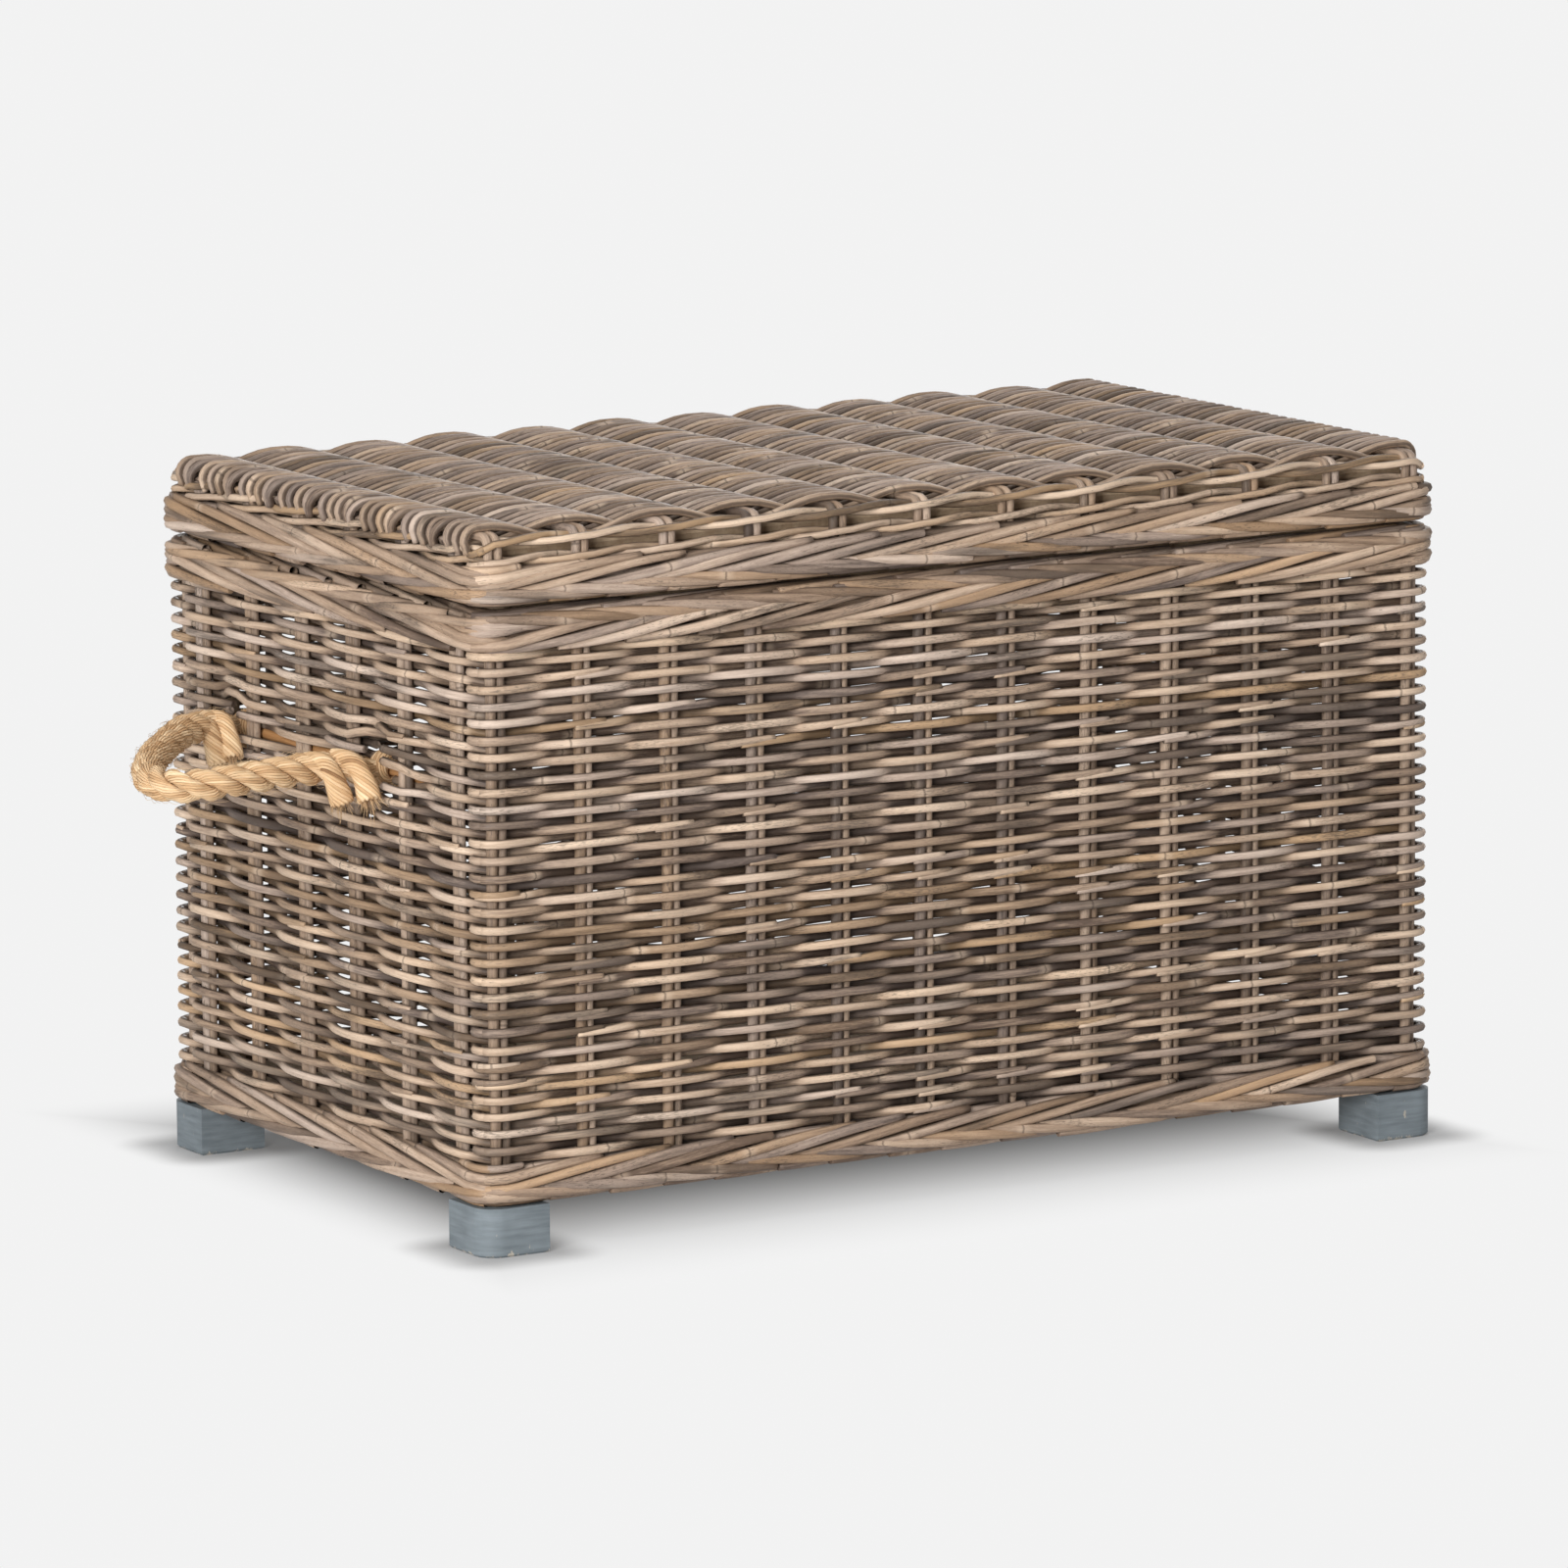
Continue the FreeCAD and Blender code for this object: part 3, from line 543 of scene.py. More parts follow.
# %% [markdown]
# Walls
#
# Each wall is plain weave: a weaver goes outside one stake pair and inside the
# next, and the row above does the opposite. A row goes once round the trunk,
# but a real cane is only one to two metres long, so a row is made of three
# canes whose thin ends lie side by side over one stake pair. Where a weaver
# passes outside it lies a little higher than where it passes inside. A row
# that meets a rope's eye stops there, the handle rod pushes its rows apart,
# and the rows above an eye are pushed up, so that the rope can be lifted.

# %% Lay the wall rows
row_count = 60
row_step = (wall_high - wall_low) / row_count
weaver_radius = 0.00398
weave_out = 0.0097
weave_lift = 0.0015
rod_low, rod_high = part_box("left_handle_rod")
rod_z = (rod_low.z + rod_high.z) / 2
eye_ys = (-0.094, 0.1661)
eye_half_width, eye_half_height = 0.0165, 0.022
corner_lap = 0.002
wall_names = ("front", "right", "back", "left")
bay_steps = np.array([0.0, 0.1, 0.24, 0.37, 0.5, 0.63, 0.76, 0.9])
corner_steps = np.array([-0.012, -0.004, 0.004, 0.012])
too_close, shortest_weaver = 0.0022, 0.008
bay_samples = [a + (b - a) * bay_steps for a, b in zip(marks[1:-1], marks[2:])]
ring_samples = np.concatenate(bay_samples + [corner_steps + c for c in corner_ways])
ring_samples = np.unique(np.round(np.mod(ring_samples, round_length), 5))
ring_samples = ring_samples[np.concatenate([[True], np.diff(ring_samples) > too_close])]
drift_grid = dice.normal(0.0, 0.0011, (11, 16))
drift_grid[0] = drift_grid[-1] = 0.0
drift_ways = np.linspace(0.0, round_length, 17)


def row_drift(number, way):
    """Slow wander of the rows, alike in neighbouring rows."""
    at = number / (row_count - 1) * 10
    low = min(int(at), 9)
    line = drift_grid[low] + (drift_grid[low + 1] - drift_grid[low]) * smooth(at - low)
    return np.interp(np.mod(way, round_length), drift_ways, np.append(line, line[0]))


def stretch(first, last):
    """Sample distances from first to last, both ends among them."""
    laps = np.concatenate([ring_samples + k * round_length for k in (-1, 0, 1, 2)])
    inner = laps[(laps > first + 0.002) & (laps < last - 0.002)]
    return np.concatenate([[first], inner, [last]])


def pushes(height, place):
    """How far the handle rod, and then the eyes, push a row of an end wall up or down."""
    y = -np.sign(place[:, 0]) * place[:, 1]
    at_end = np.abs(place[:, 0]) > half_x - 0.03
    from_rod = height - rod_z
    most, spread = 0.0048, 0.015
    beside = smooth((y - rod_low.y + 0.01) / 0.03) * smooth((rod_high.y + 0.01 - y) / 0.03)
    yield np.sign(from_rod) * most * np.exp(-((from_rod / spread) ** 2)) * (beside * at_end)
    if from_rod > eye_half_height:
        most, middle, spread = 0.0065, 0.029, 0.013
        near = sum(1 - smooth((np.abs(y - eye_y) - 0.012) / 0.028) for eye_y in eye_ys)
        yield most * math.exp(-(((from_rod - middle) / spread) ** 2)) * (near * at_end)


def gaps_in_row(height):
    """Ranges round the trunk where the rope eyes take the row's place."""
    if abs(height - rod_z) > eye_half_height:
        return []
    cuts = []
    for side in (1, -1):
        for y in eye_ys:
            middle = way_at(side * half_x, -side * y)
            cuts.append((middle - eye_half_width, middle + eye_half_width))
    return cuts


def lay_row(bundles, number):
    """The three canes of one row, cut at the walls' corners and at the eyes."""
    odd = number % 2
    height = wall_low + (number + 0.5) * row_step
    lifts = dice.normal(0.0, 0.0005, len(marks))
    lifts[0], lifts[-1] = lifts[-2], lifts[1]
    outside = [i for i in range(len(pair_ways)) if (i + 1 + odd) % 2 == 0]
    picks = sorted(dice.choice(len(outside), 3, replace=False))
    starts = [pair_ways[outside[i]] for i in picks]
    ends = starts[1:] + [starts[0] + round_length]
    cuts = gaps_in_row(height)
    for start, end in zip(starts, ends):
        tone = cane_tone(0.58, 0.27, 0.32, 0.42)
        size = weaver_radius * dice.uniform(0.91, 1.09)
        first, last = start - dice.uniform(0.012, 0.02), end + dice.uniform(0.012, 0.022)
        whole = (first, last)
        for wall in range(4):
            wall_start, wall_end = wall_ranges[wall]
            wall_start, wall_end = wall_start - corner_lap, wall_end + corner_lap
            for lap in (-1, 0, 1):
                low = max(first, wall_start + lap * round_length)
                high = min(last, wall_end + lap * round_length)
                spans = [(low, high)]
                for cut_low, cut_high in cuts:
                    if cut_low >= wall_end or cut_high <= wall_start:
                        continue
                    left, right = cut_low + lap * round_length, cut_high + lap * round_length
                    parts = [((a, min(b, left)), (max(a, right), b)) for a, b in spans]
                    spans = [(a, b) for pair in parts for a, b in pair if b > a]
                for a, b in spans:
                    if b - a > shortest_weaver:
                        lay_weaver(bundles[wall], (a, b), whole, number, height, lifts, size, tone)


def lay_weaver(bundle, span, whole, number, height, lifts, size, tone):
    """One stretch of a cane; whole is the cane's own start and end."""
    way = stretch(*span)
    place = on_ring(way, 0.0, 0.0)
    side = sway(way, number % 2)
    lift = np.interp(np.mod(way, round_length), marks, lifts) + row_drift(number, way)
    taper, side_by_side = 0.06, 0.0019
    near_start = 1 - smooth((way - whole[0]) / taper)
    near_end = 1 - smooth((whole[1] - way) / taper)
    z = height + lift + (near_end - near_start) * side_by_side
    for push in pushes(height, place):
        z = z + push
    z = z + side * weave_lift
    radius = size * (1 - 0.3 * (near_start + near_end)) * (1 + 0.05 * np.sin(way * 41 + tone[3] * 50))
    line = on_ring(way, side * weave_out, z)
    bundle.lay(line, radius, tone, start=span[0] - whole[0], upright=(0, 0, 1), depth=side)


bundles = [Bundle() for _ in wall_names]
for number in range(row_count):
    lay_row(bundles, number)
for name, bundle in zip(wall_names, bundles):
    piece = bundle.piece(name + "_weave", kubu)
    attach(piece, "trunk")
    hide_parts(name + "_wall")

# %% [markdown]
# Stakes
#
# The weave is worked round pairs of upright canes, one thick and one thin.
# They show between the rows, so each is a slightly crooked cane of its own,
# with both ends inside the borders.

# %% Stand the stake pairs
base_low, base_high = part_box("base_border")
top_low, top_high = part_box("top_border")
lid_low, lid_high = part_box("lid_border")


def stand_cane(bundle, way, radius, low, high, rings=14):
    """One upright cane, a little crooked."""
    height = np.linspace(low, high, rings)
    bends = dice.uniform(0, 6.28, 2)
    drift = 0.0006 * np.sin(height * 17 + bends[0]) + dice.normal(0, 0.0003)
    lean = 0.0004 * np.sin(height * 23 + bends[1])
    swell = radius * (1 + 0.04 * np.sin(height * 29 + bends[1]))
    line = on_ring(way + drift, lean, height)
    bundle.lay(line, swell, cane_tone(0.47), sides=10, upright=(1, 0.3, 0))


pair_canes = ((-0.0039, 0.0050), (0.00515, 0.00375))
stake_end = 0.014
pairs_of_wall = {
    "front": range(0, 12), "right": range(12, 18), "back": range(18, 30), "left": range(30, 36),
}
for name, numbers in pairs_of_wall.items():
    bundle = Bundle()
    for number in numbers:
        for shift, radius in pair_canes:
            low, high = wall_low - stake_end, wall_high + stake_end
            stand_cane(bundle, pair_ways[number] + shift, radius, low, high)
    piece = bundle.piece(name + "_stakes", stake_cane)
    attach(piece, "trunk")
    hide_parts(name + "_wall_stakes")

# %% [markdown]
# Borders
#
# A border is the stakes' long ends, bent over and plaited along the edge. On
# the outside broad canes lean along the border. Each starts under the one
# before it, stands proud in the middle and dives in at its end, so it shows as
# a long lens. Nearer the rolled edge narrow canes lean the other way, and a
# third row lies along the edge itself and leans over it to the inside. Six
# straight canes run behind them as the core. A kind of cane is given by the
# two places of the border's section that it goes between: how far out, and
# how far from the rolled edge as a share of the border's height.

# %% Plait one border
slants = (1, -1, 1, -1)
border_radius, core_radius = 0.0047, 0.0046
proud, past_corner, dive, dive_depth = 0.0062, 0.026, 0.03, 0.009
broad = (0.0068, 0.32), (0.0078, 0.97)
narrow = (0.0080, 0.42), (0.0074, 0.19)
over = (0.0100, 0.135), (-0.0120, 0.135)
core = (
    (-0.0132, 0.30), (-0.0132, 0.56), (-0.0132, 0.84), (0.004, 0.36), (0.004, 0.60), (0.004, 0.86),
)


def lens_canes(bundle, wall, every, shift, long, ends, rise, light):
    """A row of canes along one wall: one starts every so far and is so long."""
    begin, end_at = ends
    start, end = wall_ranges[wall]
    steps = np.linspace(0.0, 1.0, 24)
    first = start - long + shift * every
    while first < end:
        reach = long * dice.uniform(0.92, 1.10)
        low, high = max(first, start - past_corner), min(first + reach, end + past_corner)
        if high - low > 0.045:
            way = low + (high - low) * steps
            share = (way - first) / reach
            climb = share - 0.085 * np.sin(2 * np.pi * share)
            lens = np.sin(np.pi * share) ** 0.7
            cut_start = (1 - smooth((way - low) / dive)) * (low > first)
            cut = cut_start + (1 - smooth((high - way) / dive)) * (high < first + reach)
            out = begin[0] + (end_at[0] - begin[0]) * climb + rise * lens - dive_depth * cut
            z = begin[1] + (end_at[1] - begin[1]) * climb + dice.normal(0, 0.0006)
            size = border_radius * dice.uniform(0.9, 1.08) * (0.74 + 0.26 * lens) * (1 - 0.25 * cut)
            # Painted shade: each cane is darker towards its ends, where it goes under its neighbours.
            tone, under_shade = cane_tone(light, 0.26, 0.34, 0.42), 0.4 * (1 - lens)
            bundle.lay(on_ring(way, out, z), size, tone, upright=(0, 0, 1), under_shade=under_shade)
        first += every * dice.uniform(0.88, 1.12)


def plait(name, low, high, roll_at_top, body):
    """Leaning canes all round; the rolled edge is at the top or the bottom."""
    bundle = Bundle()
    tall = high - low
    roll_z, away = (high, -1.0) if roll_at_top else (low, 1.0)

    def ends(kind, turned):
        places = [(out, roll_z + away * tall * share) for out, share in kind]
        return places[::-1] if turned else places

    for wall, slant in enumerate(slants):
        longer = 1.0 if wall % 2 == 0 else 1.3
        turned = slant * away < 0
        outer, inner = ends(broad, turned), ends(narrow, turned)
        lens_canes(bundle, wall, 0.064 * longer, 0.3, 0.215 * longer, outer, proud, 0.56)
        lens_canes(bundle, wall, 0.062 * longer, 0.8, 0.150 * longer, inner, proud, 0.52)
        lens_canes(bundle, wall, 0.058, 0.5, 0.150, ends(over, slant < 0), 0.0, 0.46)
    for out, rise in core:
        for wall, (start, end) in enumerate(wall_ranges):
            way = np.linspace(start - 0.001, end + 0.001, 60 if wall % 2 == 0 else 40)
            z = roll_z + away * tall * rise + 0.0007 * np.sin(way * 73 + rise * 40)
            line = on_ring(way, out, z)
            bundle.lay(line, core_radius, cane_tone(0.38, 0.15, 0.28), sides=6, upright=(0, 0, 1))
    piece = bundle.piece(name + "_plait", border_cane)
    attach(piece, body)
    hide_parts(name)


plait("base_border", base_low.z, base_high.z, False, "trunk")
plait("top_border", top_low.z, top_high.z, True, "trunk")
plait("lid_border", lid_low.z, lid_high.z, False, "lid")

# %% [markdown]
# The lid
#
# The lid's ribs stand in its border at the front, go over the top and down at
# the back, in pairs. The top strands are woven over and under them, so each
# rib pair makes a ridge. At the ends the outer strands are bent down over the
# edge in groups, and the last one of a group slants to its neighbour's foot.
# Low down, two pairs of weavers twist round the ribs and the end stakes.

# %% Bend the ribs
rib_low, rib_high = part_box("lid_ribs")
rib_radius, rib_apart = 0.004, 0.0084
rib_z = rib_high.z - rib_radius
rib_bend = 0.009


def bent_over(reach, low, high, bend, steps=7):
    """Line in one plane: up, over a round bend, across, and down again."""
    side = [(-reach, low + (high - bend - low) * share) for share in np.linspace(0, 1, 5)[:-1]]
    for angle in np.radians(np.linspace(180, 90, steps)):
        side.append((-reach + bend + bend * math.cos(angle), high - bend + bend * math.sin(angle)))
    shares = np.linspace(0, 1, 15)[1:-1]
    middle = [(-reach + bend + (reach - bend) * 2 * share, high) for share in shares]
    return np.array(side + middle + [(-a, b) for a, b in reversed(side)])


bundle = Bundle()
for x in front_places:
    for shift in (-1, 1):
        line = bent_over(half_y, rib_low.z - 0.012, rib_z, rib_bend)
        drift = 0.0006 * np.sin(np.linspace(0, 9, len(line)) + dice.uniform(0, 6))
        points = np.stack([x + shift * rib_apart / 2 + drift, line[:, 0], line[:, 1]], axis=1)
        radius = rib_radius * dice.uniform(0.94, 1.04)
        bundle.lay(points, radius, cane_tone(0.5, 0.18, 0.35), sides=10, upright=(1, 0, 0))
piece = bundle.piece("ribs", stake_cane)
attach(piece, "lid")
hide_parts("lid_ribs")

# %% Weave the top strands
strand_radius = 0.00372
top_rows = 72
top_reach = 0.2665
edge_x = 0.4915
edge_bend = 0.012
edge_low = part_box("lid_top")[0].z - 0.003
crest_z = rib_z + rib_radius + strand_radius
dip_z = rib_z - rib_radius - strand_radius
level_share = 0.07
group, group_lean, last_lean_y = 5, 0.0125, 0.26
hidden_ends = (-0.002, 0.0005), (0.003, -0.002)


def top_height(x, odd):
    """Height of a top strand: over one rib pair and under the next."""
    share = (x - front_places[0]) / front_pitch
    at = np.clip(np.floor(share), 0, 10)
    bay = np.clip((share - at - level_share) / (1 - 2 * level_share), 0, 1)
    wave = np.cos(np.pi * bay) * np.where((at + odd) % 2 == 0, 1, -1)
    return (crest_z + dip_z) / 2 + (crest_z - dip_z) / 2 * wave


def wrap_down(side, y, lean):
    """The end of a strand that is bent down over the lid's edge."""
    angles = np.radians(np.linspace(90, 0, 6))
    out = edge_x - edge_bend + edge_bend * np.cos(angles)
    up = crest_z - edge_bend + edge_bend * np.sin(angles)
    down = np.linspace(crest_z - edge_bend, edge_low, 4)[1:]
    x = np.concatenate([out, edge_x - 0.0012 * np.arange(1, 4)])
    z = np.concatenate([up, down])
    slide = y + lean * smooth(np.linspace(0.0, 1.0, len(x)))
    return np.stack([side * x, slide, z], axis=1)


bundle = Bundle()
bays = [a + front_pitch * bay_steps for a in front_places[:-1]]
inner = np.concatenate(bays + [[front_places[-1]]])
for row in range(top_rows):
    y = -top_reach + 2 * top_reach * row / (top_rows - 1)
    odd = row % 2
    # The top strands get a darker tone than the wall weavers: a painted shade that offsets the light
    # falling on the lid from above.
    tone = cane_tone(0.32, 0.19, 0.2, 0.38)
    drift = y + 0.0005 * np.sin(inner * 19 + dice.uniform(0, 6.28))
    height = top_height(inner, odd)
    points = np.stack([inner, drift, height], axis=1)
    ends = []
    for side, number in ((-1, 0), (1, 11)):
        if (number + odd) % 2 == 0:
            lean = group_lean if row // 2 % group == 3 else dice.normal(0, 0.0006)
            ends.append(wrap_down(side, y, lean if y < last_lean_y else 0.0))
        else:
            low = points[0][2] if side < 0 else points[-1][2]
            ends.append(np.array([(side * (half_x + out), y, low + up) for out, up in hidden_ends]))
    points = np.concatenate([ends[0][::-1], points[1:-1], ends[1]])
    swell = 1 + 0.04 * np.sin(points[:, 0] * 37 + tone[3] * 60)
    radius = strand_radius * dice.uniform(0.95, 1.05) * swell
    bundle.lay(points, radius, tone, upright=(0, 1, 0))
piece = bundle.piece("lid_top_strands", kubu)
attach(piece, "lid")
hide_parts("lid_top")

# %% Twist the skirt's weavers and stand its end stakes
skirt_low, skirt_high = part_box("front_lid_skirt")
pair_levels = (
    (skirt_low.z + 0.0042, skirt_low.z + 0.0026), (skirt_high.z + 0.0016, skirt_low.z + 0.0122),
)
skirt_out, thick = (0.0076, 0.0082), 0.0032
lid_bundles = {"skirt": [Bundle() for _ in wall_names], "rim": [Bundle() for _ in wall_names]}
for level, (front_z, end_z) in enumerate(pair_levels):
    for odd in (0, 1):
        tone = cane_tone(0.6, 0.15, 0.75 if level and odd else 0.3)
        for wall in range(4):
            start, end = wall_ranges[wall]
            way = stretch(start - corner_lap, end + corner_lap)
            side = sway(way, odd)
            out = side * skirt_out[wall % 2]
            twist = np.sqrt(np.maximum(0.0, 1 - side ** 2))
            slope = np.gradient(side, way)
            at_end = smooth((np.abs(on_ring(way, 0.0, 0.0)[:, 0]) - half_x + 0.012) / 0.012)
            z = front_z + (end_z - front_z) * at_end - np.sign(slope) * twist * thick * 0.95
            z = z + 0.0006 * np.sin(way * 31 + odd * 3)
            kind = "rim" if level and wall % 2 == 0 else "skirt"
            line = on_ring(way, out, z)
            lid_bundles[kind][wall].lay(line, thick * 1.05, tone, start=start, upright=(0, 0, 1))
for wall, name in enumerate(wall_names):
    piece = lid_bundles["skirt"][wall].piece(name + "_skirt_weavers", kubu)
    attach(piece, "lid")
    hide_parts(name + "_lid_skirt")
    if wall % 2 == 0:
        piece = lid_bundles["rim"][wall].piece(name + "_rim_weavers", kubu)
        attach(piece, "lid")
        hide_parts(name + "_lid_rim")
    else:
        bundle = Bundle()
        low, high = lid_high.z - 0.01, skirt_low.z + 0.0155
        for number in pairs_of_wall[name]:
            for shift, radius in pair_canes:
                stand_cane(bundle, pair_ways[number] + shift, radius, low, high, rings=5)
        piece = bundle.piece(name + "_skirt_stakes", stake_cane)
        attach(piece, "lid")
        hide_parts(name + "_lid_skirt_stakes")

# %% [markdown]
# Rope handles
#
# Each handle is one length of three-strand manila. It leaves the wall at the
# near eye, goes out and round in a flat loop and comes back at the far eye.
# The photograph shows it from end to end, so its length is the loop's own. At
# each end two strands are let go and hang, and the third is wound round the
# handle rod. The rope's line is a smooth spline held by route points, and the
# yarns of every strand follow that line. The right rope's line is a few
# millimetres shorter, so that it stays hidden behind the trunk's corner.

# %% Rope finish
def rope_finish(name):
    bench = Bench(bpy.data.materials.new(name))
    u, v, (lightness_and_shade, _, _), seed = bench.along_cane()
    fibre_place = bench.point(u * 60.0 + seed * 13.0, v * 9.0, seed * 71.0)
    fibres = bench.noise(fibre_place, detail=3.0, roughness=0.7)
    patches = bench.noise(bench.point(u * 16.0, v, seed * 29.0))
    body = lightness_and_shade * 0.4 + fibres * 0.6 + patches * 0.3 - 0.15
    stops = ((0.1, (0.23, 0.115, 0.05)), (0.45, (0.60, 0.385, 0.205)), (0.9, (0.88, 0.68, 0.44)))
    bench.bump(fibres, 0.0006, 0.8)
    return bench.surface(bench.ramp(body, stops), 0.72 + fibres * 0.15, Specular_IOR_Level=0.3)


manila = rope_finish("manila_rope")

# %% Rope lines from the route
routes = {
    "left": [
        (0.014, -0.094, 0.0005), (0.066, -0.094, 0.009), (0.138, -0.098, 0.0065),
        (0.197, -0.096, 0.002), (0.217, -0.056, 0.0025), (0.178, 0.023, 0.004),
        (0.124, 0.093, 0.007), (0.068, 0.151, 0.013), (0.014, 0.1662, 0.004),
    ],
    "right": [
        (0.014, -0.094, 0.0005), (0.066, -0.094, 0.009), (0.138, -0.098, 0.0065),
        (0.200, -0.096, 0.001), (0.214, -0.058, 0.0015), (0.168, 0.018, 0.003),
        (0.118, 0.092, 0.005), (0.066, 0.150, 0.011), (0.014, 0.1662, 0.003),
    ],
}
tails = (
    ((0.084, -0.094, 0.014), (0.074, -0.102, 0.017), (0.064, -0.108, 0.004), (0.056, -0.108, -0.022)),
    ((0.058, -0.094, 0.015), (0.046, -0.105, 0.016), (0.038, -0.116, 0.000), (0.037, -0.123, -0.020)),
    ((0.070, 0.148, 0.014), (0.058, 0.142, 0.014), (0.052, 0.140, -0.002), (0.047, 0.138, -0.022)),
    ((0.046, 0.158, 0.014), (0.040, 0.146, 0.016), (0.037, 0.138, 0.001), (0.0385, 0.130, -0.018)),
)
rod_x = 0.4717
strand_size, strand_off, lay_length = 0.0068, 0.0082, 0.072
gathered, gather_length = 0.75, 0.03
coil_radius, coil_half_width, coil_turns = 0.0123, 0.0078, (-0.15, 1.35)
tail_size, tail_fibres, rope_fibres = 0.0086, 70, 420


def spline_line(points, samples):
    """Points read from a NURBS spline with these control points."""
    curve = bpy.data.curves.new("line", "CURVE")
    curve.dimensions = "3D"
    curve.resolution_u = 32
    spline = curve.splines.new("NURBS")
    spline.points.add(len(points) - 1)
    for point, place in zip(spline.points, points):
        point.co = (*place, 1)
    spline.order_u = 3
    spline.use_endpoint_u = True
    holder = bpy.data.objects.new("line", curve)
    mesh = bpy.data.meshes.new_from_object(holder)
    read = np.array([v.co for v in mesh.vertices])
    bpy.data.objects.remove(holder)
    bpy.data.curves.remove(curve)
    bpy.data.meshes.remove(mesh)
    way = lengths_along(read)
    even = np.linspace(0, way[-1], samples)
    return np.stack([np.interp(even, way, read[:, axis]) for axis in range(3)], axis=1)


def wound_round(line, off, turns_per_metre, phase):
    """A line wound round another one, right-handed where turns are positive."""
    first, second = frames_along(line)
    angle = phase + 2 * np.pi * turns_per_metre * lengths_along(line)
    off = np.broadcast_to(off, len(line))[:, None]
    return line + off * (first * np.cos(angle)[:, None] + second * np.sin(angle)[:, None])


def lay_strand(bundle, line, light, size=strand_size, grow=1.0):
    """A rope strand as twisted yarns round a darker core, a painted shade between the yarns."""
    yarns, yarn_turns = 14, -15.0
    # The core is made darker than the yarns as painted shade in the gaps between them.
    bundle.lay(line, size * 0.78 * grow, (light - 0.5, 0, 0, dice.random()))
    for number in range(yarns):
        yarn = wound_round(line, size * 0.84 * grow, yarn_turns, 2 * np.pi * number / yarns)
        tone = (light + 0.06 + dice.normal(0, 0.3), 0, 0, dice.random())
        bundle.lay(yarn, size * 0.18 * grow, tone, sides=5)


def beside_rod(side, out, y, up):
    """Place at one end; the right end is the left one turned half round."""
    return (side * (rod_x + out), -side * y, rod_z + up)


# %% Lay the ropes
for name, side in (("left", -1), ("right", 1)):
    axis = spline_line([beside_rod(side, *point) for point in routes[name]], 150)
    way = lengths_along(axis)
    bundle = Bundle()
    near_start = 1 - smooth(way / gather_length)
    near_end = 1 - smooth((way[-1] - way) / gather_length)
    off = strand_off * (1 - gathered * near_start - gathered * near_end)
    for number in range(3):
        line = wound_round(axis, off, 1 / lay_length, 2 * np.pi * number / 3 + 1.2)
        lay_strand(bundle, line, 0.55)
    rope = bundle.piece(name + "_rope_strands", manila)
    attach(rope, name + "_handle")
    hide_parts(name + "_rope")

    ends = Bundle()
    turns = np.linspace(*coil_turns, 46)
    angle = 2 * np.pi * turns
    for y in eye_ys:
        coil_y = y + coil_half_width * (1 - 2 * (turns - turns[0]) / (turns[-1] - turns[0]))
        coil = beside_rod(side, coil_radius * np.cos(angle), coil_y, coil_radius * np.sin(angle))
        # The coil round the rod gets a darker tone than the rope, a painted shade.
        lay_strand(ends, np.stack(coil, axis=1), 0.3)
    for tail in tails:
        line = spline_line([beside_rod(side, *point) for point in tail], 24)
        opened = smooth((np.arange(24) - 10) / 13)
        lay_strand(ends, line, 0.55, size=tail_size, grow=1 + 0.25 * opened)
        tip, heading = line[-1], unit(line[-1] - line[-3])
        for _ in range(tail_fibres):
            spread = dice.normal(0, 1, 3)
            base = tip - heading * 0.006 + spread * 0.0032
            reach = dice.uniform(0.008, 0.017)
            steps = np.linspace(0, 1, 5)[:, None]
            bend = spread[::-1] * 0.002 * steps ** 2
            fibre = base + (heading + spread * 0.14) * reach * steps + bend
            ends.lay(fibre, 0.0005 * (1 - 0.6 * steps[:, 0]), (0.6, 0, 0, dice.random()), sides=3)
    rope_ends = ends.piece(name + "_rope_ends_strands", manila)
    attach(rope_ends, name + "_handle")
    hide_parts(name + "_rope_ends")

    fuzz = Bundle()
    first, second = frames_along(axis)
    for _ in range(rope_fibres):
        at = dice.integers(2, len(axis) - 2)
        angle = dice.uniform(0, 2 * np.pi)
        outward = first[at] * math.cos(angle) + second[at] * math.sin(angle)
        along = unit(axis[at + 1] - axis[at]) * dice.choice([-1, 1])
        steps = np.linspace(0, 1, 5)[:, None]
        reach = dice.uniform(0.008, 0.02)
        stand = dice.uniform(0.001, 0.0035)
        above = 0.0142 + stand * np.sin(steps * np.pi * 0.8)
        fibre = axis[at] + outward * above + along * reach * steps
        fuzz.lay(fibre, 0.00016, (0.8, 0, 0, dice.random()), sides=3)
    fibres = fuzz.piece(name + "_rope_fibres", manila)
    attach(fibres, name + "_handle")
    print(name, "rope line", round(float(way[-1]), 4), "m")

# %% [markdown]
# Carried-over pieces
#
# The posts, rails, boards, feet, hinges and screws keep their CAD shapes. They
# get finishes here: peeled poles, plain board, worn blue-grey paint darkened
# by a painted shade, and dull brushed steel.

# %% Finishes on object coordinates
def wood_finish(name, dark, light, stretch_by, gloss=0.6):
    bench = Bench(bpy.data.materials.new(name))
    mapped = bench.place(stretch_by)
    grain = bench.noise(mapped, detail=5.0, roughness=0.6)
    fine = bench.noise(mapped, scale=5.0)
    colour = bench.ramp(grain * 0.75 + fine * 0.25, ((0.3, dark), (0.7, light)))
    bench.bump(grain * 0.6 + fine * 0.4, 0.0005, 0.5)
    return bench.surface(colour, gloss + fine * 0.15)


